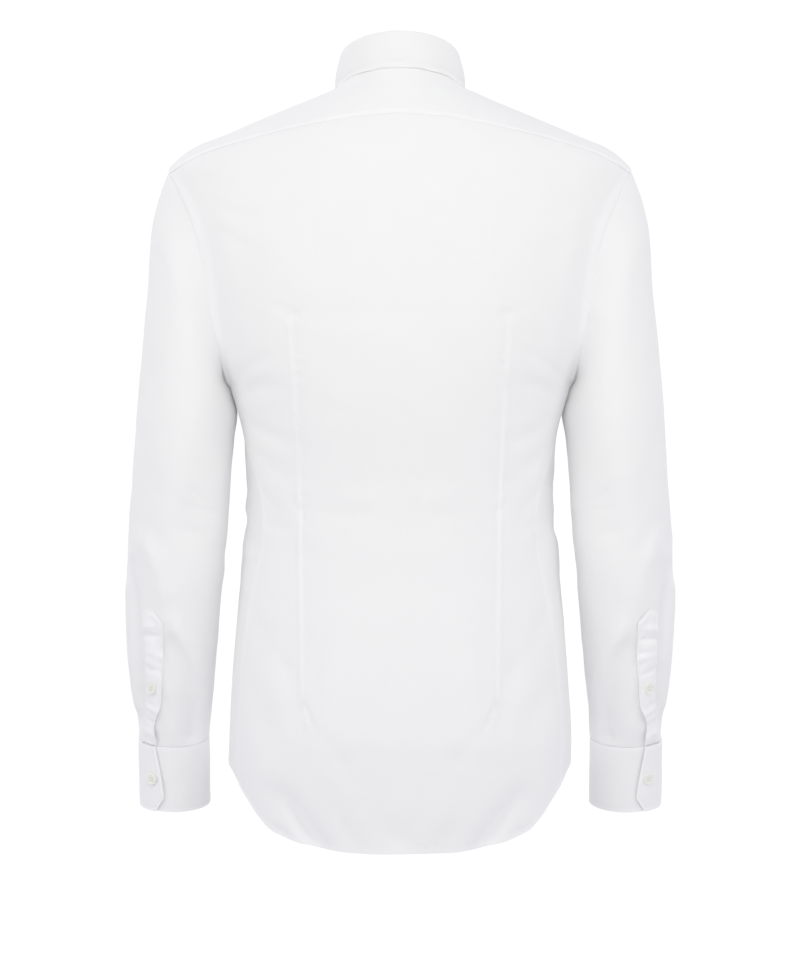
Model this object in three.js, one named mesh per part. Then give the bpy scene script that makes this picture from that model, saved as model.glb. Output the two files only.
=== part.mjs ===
import * as THREE from "three";

// Long sleeve dress shirt, filled out as when it is worn, with nobody in it.
// Sizes are in millimetres. +Z is up, the front faces -Y and the wearer's left is +X.
// The origin is in the neck opening, level with the points where the collar meets the shoulders.
// Angles round the body and round the neck start at the centre back and grow towards the wearer's left.

// Cloth
const CLOTH = 1.4;
const DOUBLED = 2.0;
const SEAM_GAP = 0.3;

// Sections of the body, from the neck down. side, back and front are how far the cloth stands from the
// middle, and square is the exponent of the section's rounded outline, where 2 is an ellipse.
// Above the shoulder point, side is the slope of the shoulder.
const BODY = [
  { z: 15, side: 58, back: 61, front: 18, square: 2 },
  { z: 6, side: 60.5, back: 64, front: 21, square: 2 },
  { z: 0, side: 63.5, back: 67, front: 24.5, square: 2 },
  { z: -5, side: 75, back: 70, front: 27, square: 2 },
  { z: -11, side: 89, back: 73, front: 34, square: 2 },
  { z: -22, side: 116, back: 79, front: 48, square: 2 },
  { z: -34, side: 145.5, back: 85, front: 61, square: 2 },
  { z: -46, side: 173.5, back: 91, front: 72, square: 2 },
  { z: -58, side: 203, back: 96, front: 81, square: 2 },
  { z: -70, side: 220.5, back: 100.5, front: 88, square: 2 },
  { z: -82, side: 230.5, back: 104.5, front: 94, square: 2 },
  { z: -120, side: 230, back: 114, front: 107, square: 2.1 },
  { z: -160, side: 215, back: 121, front: 116, square: 2.2 },
  { z: -200, side: 200, back: 125, front: 121, square: 2.25 },
  { z: -250, side: 185, back: 127, front: 124, square: 2.25 },
  { z: -298, side: 168, back: 125, front: 123, square: 2.25 },
  { z: -320, side: 161, back: 122, front: 121, square: 2.25 },
  { z: -345, side: 155.5, back: 118, front: 118, square: 2.25 },
  { z: -380, side: 153.5, back: 112, front: 114, square: 2.2 },
  { z: -425, side: 153.5, back: 108, front: 111, square: 2.2 },
  { z: -480, side: 157.5, back: 109, front: 110, square: 2.2 },
  { z: -540, side: 163, back: 115, front: 112, square: 2.25 },
  { z: -600, side: 167.5, back: 121, front: 114, square: 2.3 },
  { z: -650, side: 170, back: 122, front: 113, square: 2.3 },
  { z: -700, side: 169, back: 113, front: 109, square: 2.25 },
  { z: -760, side: 163, back: 98, front: 102, square: 2.2 },
];

// Armhole, from the shoulder point down to the underarm.
const ARMHOLE = {
  topX: 230.5,
  topZ: -82,
  bottomX: 168,
  bottomZ: -298,
  backDepth: 62,
  frontDepth: 52,
  backScoop: 10,
  frontScoop: 17,
  scoopSkew: 11,
};

// The side seam lies behind the body's widest line, above all at the waist.
const SIDE_SEAM = [
  { z: -298, y: 0 },
  { z: -322, y: 3 },
  { z: -348, y: 18 },
  { z: -375, y: 38 },
  { z: -400, y: 50 },
  { z: -432, y: 55 },
  { z: -485, y: 52 },
  { z: -545, y: 48 },
  { z: -620, y: 50 },
  { z: -752, y: 48 },
];

// Shirt tail hem, as a height for each angle round the body.
const HEM = [
  { angle: 0, z: -753 },
  { angle: 16, z: -752.8 },
  { angle: 30, z: -752 },
  { angle: 46, z: -746 },
  { angle: 54, z: -740 },
  { angle: 60, z: -732 },
  { angle: 64.8, z: -717 },
  { angle: 68, z: -704.5 },
  { angle: 72.3, z: -690.5 },
  { angle: 78.4, z: -677 },
  { angle: 90, z: -670 },
  { angle: 104, z: -669 },
  { angle: 116, z: -680 },
  { angle: 130, z: -704 },
  { angle: 146, z: -727 },
  { angle: 162, z: -739 },
  { angle: 180, z: -742 },
];
const HEM_SEAM_ANGLE = 73.5;
const MIDDLE_HEM = -740;

// Seam between the back and the yoke, as a height for each distance from the centre back.
const YOKE_SEAM = [
  { x: 0, z: -32 },
  { x: 47, z: -36 },
  { x: 86, z: -42 },
  { x: 120, z: -49 },
  { x: 165, z: -60 },
  { x: 192, z: -68 },
  { x: 212, z: -77 },
  { x: 227, z: -85 },
];

// Angles round the armhole, from the shoulder point, where the yoke ends.
const YOKE_END_BACK = 13.5;
const YOKE_END_FRONT = 16;

// Neck seam in plan, and the angles where the yoke's corner and its front end meet it.
const NECK = { halfWidth: 62, centreY: -4.5, halfDepth: 65.5, yokeCorner: 84, yokeEnd: 110 };

// How far each front goes past the centre, and how far it is lifted or pressed in there.
const OVERLAP = { width: 15, lift: 1.05, ramp: 34 };

// Sections of the left sleeve, from the armhole to the cuff. Each is a ring through an outer and an
// inner point, with its depth to the back and the front of centreY. lean turns it towards the wrist.
const SLEEVE = [
  { outerZ: -82, outerX: 230.5, innerZ: -298, innerX: 168, centreY: 0, back: 62, front: 52, lean: 0 },
  { outerZ: -96, outerX: 236, innerZ: -303, innerX: 170.4, centreY: 0, back: 64, front: 56, lean: 0 },
  { outerZ: -112, outerX: 241, innerZ: -309, innerX: 169.6, centreY: 0, back: 66, front: 59, lean: 0 },
  { outerZ: -132, outerX: 245.5, innerZ: -316, innerX: 168.4, centreY: 1, back: 67.5, front: 62, lean: 0 },
  { outerZ: -160, outerX: 248.8, innerZ: -325, innerX: 166.6, centreY: 2, back: 68.5, front: 64, lean: 0 },
  { outerZ: -200, outerX: 251.6, innerZ: -339, innerX: 166, centreY: 4, back: 68.5, front: 65, lean: 0 },
  { outerZ: -245, outerX: 255.5, innerZ: -357, innerX: 166.8, centreY: 6, back: 67.5, front: 65.5, lean: 0 },
  { outerZ: -290, outerX: 259.3, innerZ: -378, innerX: 168.8, centreY: 8, back: 66.5, front: 65.5, lean: 0 },
  { outerZ: -335, outerX: 262.8, innerZ: -405, innerX: 170.6, centreY: 8, back: 65, front: 65, lean: 0 },
  { outerZ: -385, outerX: 266.3, innerZ: -439, innerX: 173, centreY: 5, back: 63, front: 63, lean: 2 },
  { outerZ: -435, outerX: 270, innerZ: -475, innerX: 176.4, centreY: 0, back: 61, front: 61, lean: 5 },
  { outerZ: -480, outerX: 272.8, innerZ: -510, innerX: 180, centreY: -7, back: 59, front: 59, lean: 8 },
  { outerZ: -520, outerX: 273.6, innerZ: -542, innerX: 182.6, centreY: -14, back: 57, front: 57, lean: 10 },
  { outerZ: -560, outerX: 272, innerZ: -574, innerX: 185.3, centreY: -21, back: 53, front: 53, lean: 12 },
  { outerZ: -595, outerX: 269, innerZ: -603, innerX: 188.8, centreY: -28, back: 48, front: 48, lean: 12 },
  { outerZ: -624, outerX: 265, innerZ: -627, innerX: 191.4, centreY: -34, back: 43.5, front: 43.5, lean: 12 },
  { outerZ: -650, outerX: 262, innerZ: -650, innerX: 193.6, centreY: -40, back: 37.5, front: 37.5, lean: 12 },
];
const SLEEVE_TOP = SLEEVE[0].outerZ;
const SLEEVE_END = SLEEVE[SLEEVE.length - 1].outerZ;

// Large soft folds. Each runs from one place to another, as an angle and a height, and is a trough of
// that width and depth, or a ridge where the depth is negative.
const BODY_FOLDS = [
  { angle0: 52, z0: -702, angle1: 40, z1: -748, width: 13, depth: 6 },
  { angle0: 44, z0: -560, angle1: 46, z1: -618, width: 20, depth: 3 },
  { angle0: 78, z0: -395, angle1: 74, z1: -455, width: 22, depth: 3.5 },
  { angle0: 100, z0: -470, angle1: 112, z1: -640, width: 24, depth: -3.5 },
  { angle0: 128, z0: -380, angle1: 138, z1: -600, width: 26, depth: 3.5 },
  { angle0: 118, z0: -250, angle1: 140, z1: -380, width: 24, depth: 3 },
];
const SLEEVE_FOLDS = [
  { angle0: 41, z0: -500, angle1: 42, z1: -612, width: 9, depth: 3.5 },
  { angle0: 18, z0: -500, angle1: 20, z1: -612, width: 11, depth: -2.5 },
  { angle0: 98, z0: -540, angle1: 146, z1: -606, width: 12, depth: -3 },
  { angle0: 88, z0: -560, angle1: 128, z1: -640, width: 15, depth: 4.5 },
  { angle0: 150, z0: -300, angle1: 112, z1: -440, width: 26, depth: 6 },
  { angle0: 52, z0: -452, angle1: 80, z1: -502, width: 10, depth: -2.5 },
  { angle0: 290, z0: -380, angle1: 245, z1: -430, width: 15, depth: 5 },
  { angle0: 300, z0: -560, angle1: 250, z1: -632, width: 15, depth: 4 },
  { angle0: 215, z0: -470, angle1: 240, z1: -400, width: 14, depth: 4 },
];
const MM_PER_DEGREE = { body: 2.4, sleeve: 0.95 };

// Heights over which a sleeve takes on the armhole's scoop, loses its folds above the cuff, and turns
// out of the armhole.
const SLEEVE_BLEND = { armhole: 60, cuff: 12, start: 14 };

// Cuff: an angle-cut barrel cuff that laps over itself on the outer back of the wrist. pull draws the
// top of its free end back, over the last share of its length from pullFrom.
const CUFF = {
  height: 67.5,
  halfWidth: 34.2,
  halfDepth: 37.5,
  centreX: 227.8,
  centreY: -40,
  topZ: -650,
  lean: 12,
  underEnd: 33,
  overEnd: 436,
  lapRamp: 55,
  lapLift: 2.55,
  mitreAngle: 15,
  mitreHeight: 15,
  pull: 14,
  pullFrom: 0.9,
  pullPower: 1.5,
};

// Sleeve placket, as the angles of its two edges at each height of the sleeve's outer line. lift is how
// far its free edge stands off.
const PLACKET = [
  { z: -505, outer: 57, inner: 82, lift: 0 },
  { z: -518, outer: 57, inner: 82.5, lift: 0.2 },
  { z: -547, outer: 56, inner: 81.5, lift: 0.5 },
  { z: -577, outer: 53.5, inner: 79.5, lift: 0.8 },
  { z: -602, outer: 49.5, inner: 77, lift: 1.4 },
  { z: -614, outer: 46, inner: 70.5, lift: 2.6 },
  { z: -626, outer: 41, inner: 63.5, lift: 1.6 },
  { z: -640, outer: 36.5, inner: 66, lift: 2.2 },
  { z: -650, outer: 34, inner: 61.5, lift: 1.2 },
];
const PLACKET_END = SLEEVE_END + 1.5;
const PLACKET_REST = CLOTH + 0.65;
const PLACKET_TOP = { height: 11, peak: 0.75, power: 1.2 };

// Collar: the stand's top edge, the roll over it and the outer edge of the leaf.
const STAND_TOP = { halfWidth: 56.2, centreY: -1.5, halfDepth: 59, z: 24.7, tilt: 32.8, sag: 6.9 };
const STAND_END = { round: 12, drop: 0.55 };
const STAND_LIFT = 1.25;
const LEAF_CLOTH = 1.7;
const ROLL = 1.95;
const LEAF_START = 176;
const LEAF_SPACING = 0.92;
const LEAF_BULGE = 1.6;
const LEAF_REST = 1.2;
const LEAF_EDGE = [
  { angle: 0, x: 0, y: 66.5, z: 15.5 },
  { angle: 30, x: 34, y: 57.5, z: 13.5 },
  { angle: 60, x: 57, y: 33, z: 8.5 },
  { angle: 80, x: 65, y: 10, z: 4.5 },
  { angle: 95, x: 67.5, y: -9, z: 0 },
  { angle: 112, x: 67, y: -28, z: -12 },
  { angle: 130, x: 63, y: -48, z: -28 },
  { angle: 148, x: 57, y: -66, z: -44 },
  { angle: 164, x: 49, y: -80, z: -58 },
  { angle: 176, x: 43, y: -88, z: -70 },
];

// Buttons
const BUTTON = { radius: 5.5, thickness: 2.4, rim: 1.1, dish: 0.7, edge: 0.9, round: 0.4, segments: 14 };
const FRONT_BUTTONS = { first: -98, spacing: 90, count: 6 };
const CUFF_BUTTON = { angle: 416, share: 0.5 };
const SLEEVE_BUTTON = { z: -585 };

// Grid of each piece
const BACK_COLUMNS = 24;
const LOWER_ROWS = 13;
const UPPER_ROWS = 9;
const YOKE_SIDE_COLUMNS = 3;
const YOKE_ROWS = 6;
const FRONT_SIDE_COLUMNS = YOKE_ROWS;
const FRONT_NECK_COLUMNS = 6;
const SLEEVE_AROUND = 2 * UPPER_ROWS + YOKE_SIDE_COLUMNS;
const SLEEVE_RINGS = 25;
const CUFF_COLUMNS = 30;
const STAND_COLUMNS = 34;
const LEAF_COLUMNS = 34;
const ROLL_ROWS = 4;
const LEAF_ROWS = 4;

// How fast the rows of a panel follow the armhole towards its side, and its columns follow the slanted
// top towards the yoke.
const ARMHOLE_REACH = 4;
const TOP_REACH = 2.5;

const rad = THREE.MathUtils.degToRad;
const deg = THREE.MathUtils.radToDeg;
const { lerp, clamp, smoothstep } = THREE.MathUtils;
const UP = new THREE.Vector3(0, 0, 1);

// The value of a table's column at a place, on a smooth curve through its rows.
function follow(rows, by, column, at) {
  const last = rows.length - 1;
  const rising = rows[last][by] > rows[0][by];
  let i = 0;
  while (i < last - 1 && (rising ? rows[i + 1][by] < at : rows[i + 1][by] > at)) i++;
  const slope = (k) => {
    const a = rows[Math.max(k - 1, 0)];
    const b = rows[Math.min(k + 1, last)];
    return (b[column] - a[column]) / (b[by] - a[by]);
  };
  const [low, high] = [rows[i], rows[i + 1]];
  const width = high[by] - low[by];
  const t = clamp((at - low[by]) / width, 0, 1);
  return (
    (2 * t ** 3 - 3 * t ** 2 + 1) * low[column] +
    (t ** 3 - 2 * t ** 2 + t) * width * slope(i) +
    (3 * t ** 2 - 2 * t ** 3) * high[column] +
    (t ** 3 - t ** 2) * width * slope(i + 1)
  );
}

// How deep the folds are at a place, with troughs counted down.
function foldDepth(folds, perDegree, angle, z) {
  let depth = 0;
  for (const f of folds) {
    const along = new THREE.Vector2((f.angle1 - f.angle0) * perDegree, f.z1 - f.z0);
    const to = new THREE.Vector2((angle - f.angle0) * perDegree, z - f.z0);
    const t = clamp(to.dot(along) / along.lengthSq(), 0, 1);
    const away = to.addScaledVector(along, -t).length();
    depth -= f.depth * Math.exp(-((away / f.width) ** 2));
  }
  return depth;
}

// The armhole's point at an angle from the shoulder point, positive towards the back.
function armhole(angle) {
  const a = rad(angle);
  const back = Math.sin(a) >= 0;
  const scoop = back ? ARMHOLE.backScoop : ARMHOLE.frontScoop;
  const depth = back ? ARMHOLE.backDepth : ARMHOLE.frontDepth;
  return new THREE.Vector3(
    lerp(ARMHOLE.bottomX, ARMHOLE.topX, (1 + Math.cos(a)) / 2) -
      Math.sin(a) ** 2 * (scoop + ARMHOLE.scoopSkew * Math.cos(a)),
    depth * Math.sin(a),
    lerp(ARMHOLE.bottomZ, ARMHOLE.topZ, (1 + Math.cos(a)) / 2),
  );
}

// The armhole's angle at a height.
function armholeAngle(z) {
  const share = (z - ARMHOLE.bottomZ) / (ARMHOLE.topZ - ARMHOLE.bottomZ);
  return deg(Math.acos(clamp(2 * share - 1, -1, 1)));
}

// The body's section at a height: half width, depth and squareness, on its back or its front.
// Beside the armhole the half width is the one that brings the section through the armhole's edge.
function section(z, onBack) {
  const square = follow(BODY, "z", "square", z);
  const depth = follow(BODY, "z", onBack ? "back" : "front", z);
  let side = follow(BODY, "z", "side", z);
  if (z < ARMHOLE.topZ && z > ARMHOLE.bottomZ) {
    const edge = armhole((onBack ? 1 : -1) * armholeAngle(z));
    side = edge.x / (1 - (Math.abs(edge.y) / depth) ** square) ** (1 / square);
  }
  return { side, depth, square };
}

// The body's surface at an angle round it and a height.
function bodyPoint(angle, z) {
  const a = rad(angle);
  const s = section(z, Math.cos(a) >= 0);
  const reach =
    ((Math.abs(Math.sin(a)) / s.side) ** s.square + (Math.abs(Math.cos(a)) / s.depth) ** s.square) **
      (-1 / s.square) +
    foldDepth(BODY_FOLDS, MM_PER_DEGREE.body, 180 - Math.abs(180 - Math.abs(angle)), z);
  return new THREE.Vector3(reach * Math.sin(a), reach * Math.cos(a), z);
}

// The height of the shoulders over a place in plan.
function shoulderHeight(x, y) {
  let [high, low] = [BODY[0].z, BODY[11].z];
  for (let step = 0; step < 40; step++) {
    const z = (high + low) / 2;
    const s = section(z, y >= 0);
    const inside = (Math.abs(x) / s.side) ** s.square + (Math.abs(y) / s.depth) ** s.square < 1;
    if (inside) low = z;
    else high = z;
  }
  return (high + low) / 2;
}

// The unit normal of a surface of two parameters, on the side that sign asks for.
function normalOf(surface, p, q, stepP, stepQ, sign = 1) {
  const alongP = surface(p + stepP, q).sub(surface(p - stepP, q));
  const alongQ = surface(p, q + stepQ).sub(surface(p, q - stepQ));
  return alongP.cross(alongQ).normalize().multiplyScalar(sign);
}

const planAngle = (point) => deg(Math.atan2(point.x, point.y));

function bodyNormal(angle, z) {
  const normal = normalOf(bodyPoint, angle, z, 0.3, 0.4);
  return normal.dot(bodyPoint(angle, z).setZ(0)) < 0 ? normal.negate() : normal;
}

// The angle round the body of the side seam at a height, or of the armhole's edge beside it.
function sideAngle(z, onBack) {
  if (z <= ARMHOLE.bottomZ) {
    const y = follow(SIDE_SEAM, "z", "y", z);
    const s = section(z, true);
    return deg(Math.atan2(s.side * (1 - (y / s.depth) ** s.square) ** (1 / s.square), y));
  }
  const end = onBack ? YOKE_END_BACK : YOKE_END_FRONT;
  const angle = Math.max(armholeAngle(z), end);
  return planAngle(armhole(onBack ? angle : -angle));
}

// The neck seam's point at an angle round the neck.
function neckSeam(angle) {
  const x = NECK.halfWidth * Math.sin(rad(angle));
  const y = NECK.centreY + NECK.halfDepth * Math.cos(rad(angle));
  return new THREE.Vector3(x, y, shoulderHeight(x, y));
}

// The seam between the yoke and a front, from the neck to the armhole.
function frontYokeSeam(share) {
  const [neck, arm] = [neckSeam(NECK.yokeEnd), armhole(-YOKE_END_FRONT)];
  const point = neck.lerp(arm, share);
  return share < 1 ? point.setZ(shoulderHeight(point.x, point.y)) : arm;
}

// The seam between the yoke and the back, from the centre back to the armhole.
function backYokeSeam(share) {
  const arm = armhole(YOKE_END_BACK);
  const x = arm.x * share;
  const z = follow(YOKE_SEAM, "x", "z", x);
  const s = section(z, true);
  const y = s.depth * (1 - (x / s.side) ** s.square) ** (1 / s.square);
  return share < 1 ? new THREE.Vector3(x, y, z) : arm;
}

// The left half of the back, or the left front, at a share of the way from its middle to its side,
// and at one of its rows. Lower rows run from the hem to the underarm, and upper ones from there up.
function panelPlace(share, row, onBack, middle, top) {
  const hemSide = sideAngle(follow(HEM, "angle", "z", HEM_SEAM_ANGLE), onBack);
  if (row <= LOWER_ROWS) {
    const hem = follow(HEM, "angle", "z", lerp(middle(MIDDLE_HEM), hemSide, share));
    const z = lerp(hem, ARMHOLE.bottomZ, row / LOWER_ROWS);
    return [lerp(middle(z), sideAngle(z, onBack), share), z];
  }
  const climb = (row - LOWER_ROWS) / UPPER_ROWS;
  const end = onBack ? YOKE_END_BACK : YOKE_END_FRONT;
  const armholeZ = armhole((onBack ? 1 : -1) * lerp(180, end, climb)).z;
  const armholeShare = (armholeZ - ARMHOLE.bottomZ) / (armhole(end).z - ARMHOLE.bottomZ);
  const z = lerp(ARMHOLE.bottomZ, top.z, lerp(climb, armholeShare, share ** ARMHOLE_REACH));
  const topAngle = (planAngle(top) + 360) % 360;
  const topShare = (topAngle - middle(top.z)) / (sideAngle(top.z, onBack) - middle(top.z));
  const spread = lerp(share, topShare, climb ** TOP_REACH);
  return [lerp(middle(z), sideAngle(z, onBack), spread), z];
}

// Grid places. Each gives the point and the outward normal at a column and a row.
function backPlace(column, row) {
  const share = (2 * column) / BACK_COLUMNS - 1;
  const top = backYokeSeam(Math.abs(share));
  const [angle, z] = panelPlace(Math.abs(share), row, true, () => 0, top);
  return onBody(Math.sign(share) * angle, z);
}

function onBody(angle, z, lift = 0) {
  const normal = bodyNormal(angle, z);
  return { point: bodyPoint(angle, z).addScaledVector(normal, lift), normal };
}

// The angle past the centre front where a front ends, and how far its cloth stands off the body there.
const overlapAngle = (z) => 180 + deg(OVERLAP.width / follow(BODY, "z", "front", z));
function overlapLift(angle, z) {
  const past = rad(angle - 180) * follow(BODY, "z", "front", z);
  return OVERLAP.lift * smoothstep(past, -OVERLAP.ramp, -OVERLAP.width);
}

// side is 1 for the left front, which laps over, and -1 for the right one.
function frontPlace(side) {
  return (column, row) => {
    const columns = FRONT_SIDE_COLUMNS + FRONT_NECK_COLUMNS;
    const neckShare = 1 - column / FRONT_NECK_COLUMNS;
    const top =
      column < FRONT_NECK_COLUMNS
        ? neckSeam(lerp(NECK.yokeEnd, neckEnd(), neckShare))
        : frontYokeSeam((column - FRONT_NECK_COLUMNS) / FRONT_SIDE_COLUMNS);
    const [angle, z] = panelPlace(column / columns, row, false, overlapAngle, top);
    const spot = onBody(angle, z, side * overlapLift(angle, z));
    if (side < 0) for (const v of [spot.point, spot.normal]) v.x = -v.x;
    return spot;
  };
}

// The angle round the neck where the stand and the fronts end, past the centre front.
function neckEnd() {
  return 180 + deg(OVERLAP.width / (NECK.halfDepth - NECK.centreY));
}

function yokePlace(column, row) {
  const columns = BACK_COLUMNS + 2 * YOKE_SIDE_COLUMNS;
  const side = column > columns / 2 ? 1 : -1;
  const steps = Math.abs(column - columns / 2);
  const half = BACK_COLUMNS / 2;
  const atArmhole = steps > half;
  const past = (steps - half) / YOKE_SIDE_COLUMNS;
  const outer = atArmhole
    ? armhole(lerp(YOKE_END_BACK, -YOKE_END_FRONT, past))
    : backYokeSeam(steps / half);
  const neckAngle = atArmhole ? lerp(NECK.yokeCorner, NECK.yokeEnd, past) : (NECK.yokeCorner * steps) / half;
  const point = neckSeam(neckAngle);
  const share = row / YOKE_ROWS;
  point.lerp(outer, share);
  if (share > 0 && share < 1) point.z = shoulderHeight(point.x, point.y);
  const normal = bodyNormal(planAngle(point), Math.min(point.z, BODY[0].z - 1));
  for (const v of [point, normal]) v.x *= side;
  return { point, normal };
}

// The sleeve's surface at an angle round it, from its outer line towards the back, and a height.
function sleevePoint(angle, outerZ) {
  const a = rad(angle);
  const at = (column) => follow(SLEEVE, "outerZ", column, outerZ);
  const outer = new THREE.Vector3(at("outerX"), 0, outerZ);
  const inner = new THREE.Vector3(at("innerX"), 0, at("innerZ"));
  const centre = outer.clone().add(inner).multiplyScalar(0.5);
  const depth = at(Math.sin(a) >= 0 ? "back" : "front") * Math.sin(a);
  const lean = rad(at("lean"));
  const arm = outer.sub(centre).multiplyScalar(Math.cos(a));
  arm.y += depth * Math.cos(lean);
  arm.z -= depth * Math.sin(lean);
  const nearArmhole = 1 - smoothstep(ARMHOLE.topZ - outerZ, 0, SLEEVE_BLEND.armhole);
  const scoop = armhole(angle).x - lerp(ARMHOLE.bottomX, ARMHOLE.topX, (1 + Math.cos(a)) / 2);
  arm.x += scoop * nearArmhole;
  const fold = foldDepth(SLEEVE_FOLDS, MM_PER_DEGREE.sleeve, (angle + 360) % 360, centre.z + arm.z);
  const fade = smoothstep(outerZ, SLEEVE_END, SLEEVE_END + SLEEVE_BLEND.cuff);
  arm.setLength(arm.length() + fold * fade);
  centre.y += at("centreY");
  return centre.add(arm);
}

function sleeveNormal(angle, outerZ) {
  const z = clamp(outerZ, SLEEVE_END + 0.5, SLEEVE_TOP - 0.5);
  return normalOf(sleevePoint, angle, z, 0.5, 0.5);
}

// Where a wall starts beside the edge of another one, so that the two meet with the seam's gap.
// out points past the edge, normal off its face, and along is the way that the new wall goes.
function startBeside(edge, out, normal, along, thickness) {
  const turn = out.angleTo(along) / 2;
  const way = out.clone().multiplyScalar(Math.cos(turn));
  way.addScaledVector(normal, Math.sign(along.dot(normal)) * Math.sin(turn));
  return edge.clone().addScaledVector(way, (SEAM_GAP + thickness) * Math.sin(turn));
}

// The sleeve's first ring, set beside the armhole's edge.
function sleeveStart(angle) {
  const edge = armhole(angle);
  const tangent = armhole(angle + 1).sub(armhole(angle - 1)).normalize();
  const normal = bodyNormal(planAngle(edge), edge.z);
  const out = tangent.clone().cross(normal).normalize();
  const middle = armhole(90).add(armhole(-90)).multiplyScalar(0.5);
  if (out.dot(middle.sub(edge)) < 0) out.negate();
  const along = sleevePoint(angle, SLEEVE_TOP - SLEEVE_BLEND.start).sub(edge);
  along.addScaledVector(tangent, -along.dot(tangent)).normalize();
  return startBeside(edge, out, normal, along, CLOTH);
}

// The angle of a sleeve's column where it meets the armhole, at the same places as the body's rows.
function armholeColumn(column) {
  const past = column - 2 * UPPER_ROWS;
  if (column <= UPPER_ROWS) return lerp(YOKE_END_BACK, 180, column / UPPER_ROWS);
  if (past <= 0) return lerp(360 - YOKE_END_FRONT, 180, -past / UPPER_ROWS);
  return lerp(360 - YOKE_END_FRONT, 360 + YOKE_END_BACK, past / YOKE_SIDE_COLUMNS);
}

// A sleeve column's angle at a height. Columns 1 to 3 run down to the placket and along its edges.
function sleeveColumn(column, outerZ) {
  const start = armholeColumn(column);
  const at = (name) => follow(PLACKET, "z", name, Math.min(outerZ, PLACKET[0].z));
  const [outer, inner] = [at("outer"), at("inner")];
  const knots = [
    [-YOKE_END_FRONT, -YOKE_END_FRONT],
    [armholeColumn(1), outer],
    [armholeColumn(2), (outer + inner) / 2],
    [armholeColumn(3), inner],
    [180, 180],
    [360 - YOKE_END_FRONT, 360 - YOKE_END_FRONT],
    [360 + armholeColumn(1), 360 + outer],
  ];
  const k = knots.findIndex(([from]) => from >= start);
  const [[from0, to0], [from1, to1]] = [knots[k - 1], knots[k]];
  const end = lerp(to0, to1, (start - from0) / (from1 - from0));
  return lerp(start, end, smoothstep(-outerZ, -SLEEVE_TOP, -PLACKET[0].z));
}

function sleevePlace(column, row) {
  const outerZ = lerp(SLEEVE_TOP, SLEEVE_END, row / SLEEVE_RINGS);
  const angle = sleeveColumn(column, outerZ);
  const normal = sleeveNormal(angle, outerZ);
  const point = row === 0 ? sleeveStart(angle) : sleevePoint(angle, outerZ);
  return { point, normal };
}

// The faceted sleeve's own face at a fraction of a column and of a row.
function sleeveFace(column, row) {
  const [c, r] = [Math.floor(column), Math.min(Math.floor(row), SLEEVE_RINGS - 1)];
  const [s, t] = [column - c, row - r];
  const [a, b, d, e] = [
    sleevePlace(c, r),
    sleevePlace(c + 1, r),
    sleevePlace(c + 1, r + 1),
    sleevePlace(c, r + 1),
  ];
  const blend = (key) => {
    const corner = s >= t ? b[key] : e[key];
    const result = a[key].clone().multiplyScalar(1 - Math.max(s, t));
    result.addScaledVector(corner, Math.abs(s - t));
    return result.addScaledVector(d[key], Math.min(s, t));
  };
  return { point: blend("point"), normal: blend("normal").normalize() };
}

function placketPlace(columns, rows) {
  return (column, row) => {
    const across = column / columns;
    const slope = Math.abs(2 * across - PLACKET_TOP.peak) ** PLACKET_TOP.power;
    const top = PLACKET[0].z - PLACKET_TOP.height * slope;
    const z = lerp(PLACKET_END, top, row / rows);
    const sleeveRow = (SLEEVE_RINGS * (SLEEVE_TOP - z)) / (SLEEVE_TOP - SLEEVE_END);
    const { point, normal } = sleeveFace(1 + 2 * across, sleeveRow);
    return { point: point.addScaledVector(normal, placketLift(z, across)), normal };
  };
}

// How far the placket stands off the sleeve at a share of the way to its free edge.
function placketLift(z, across) {
  return PLACKET_REST + follow(PLACKET, "z", "lift", z) * across ** 3;
}

// The cuff's surface at an angle, past 360 where it laps over its start, and a distance below its seam.
function cuffPoint(angle, down) {
  const a = rad(angle);
  const lap = CUFF.lapLift * smoothstep(angle, 360 + CUFF.underEnd - CUFF.lapRamp, 360 + CUFF.underEnd);
  const lean = rad(CUFF.lean);
  const depth = (CUFF.halfDepth + lap) * Math.sin(a);
  return new THREE.Vector3(
    CUFF.centreX + (CUFF.halfWidth + lap) * Math.cos(a),
    CUFF.centreY + depth * Math.cos(lean) - down * Math.sin(lean),
    CUFF.topZ - depth * Math.sin(lean) - down * Math.cos(lean),
  );
}

const cuffNormal = (angle, down) => normalOf(cuffPoint, angle, down, 0.5, 0.5, -1);

function cuffPlace(columns, rows) {
  return (column, row) => {
    const share = column / columns;
    const upper = row / rows;
    const pull = CUFF.pull * upper ** CUFF.pullPower * smoothstep(share, CUFF.pullFrom, 1);
    const angle = lerp(CUFF.underEnd, CUFF.overEnd, share) - pull;
    const mitreStart = CUFF.overEnd - CUFF.mitreAngle;
    const mitre = CUFF.mitreHeight * clamp((angle - mitreStart) / CUFF.mitreAngle, 0, 1);
    const down = lerp(CUFF.height - mitre, 0, upper);
    return { point: cuffPoint(angle, down), normal: cuffNormal(angle, down) };
  };
}

// The stand's top edge at an angle round the neck.
function standTop(angle) {
  const c = Math.cos(rad(angle));
  return new THREE.Vector3(
    STAND_TOP.halfWidth * Math.sin(rad(angle)),
    STAND_TOP.centreY + STAND_TOP.halfDepth * c,
    STAND_TOP.z + STAND_TOP.tilt * c - STAND_TOP.sag * c * c,
  );
}

// The neck edge of the yoke and the fronts, which are lifted where they lap.
function neckEdge(angle) {
  const edge = neckSeam(Math.abs(angle));
  const around = (planAngle(edge) + 360) % 360;
  const lift = Math.sign(angle) * overlapLift(around, edge.z);
  edge.addScaledVector(bodyNormal(around, edge.z), lift);
  edge.x *= Math.sign(angle);
  return edge;
}

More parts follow.
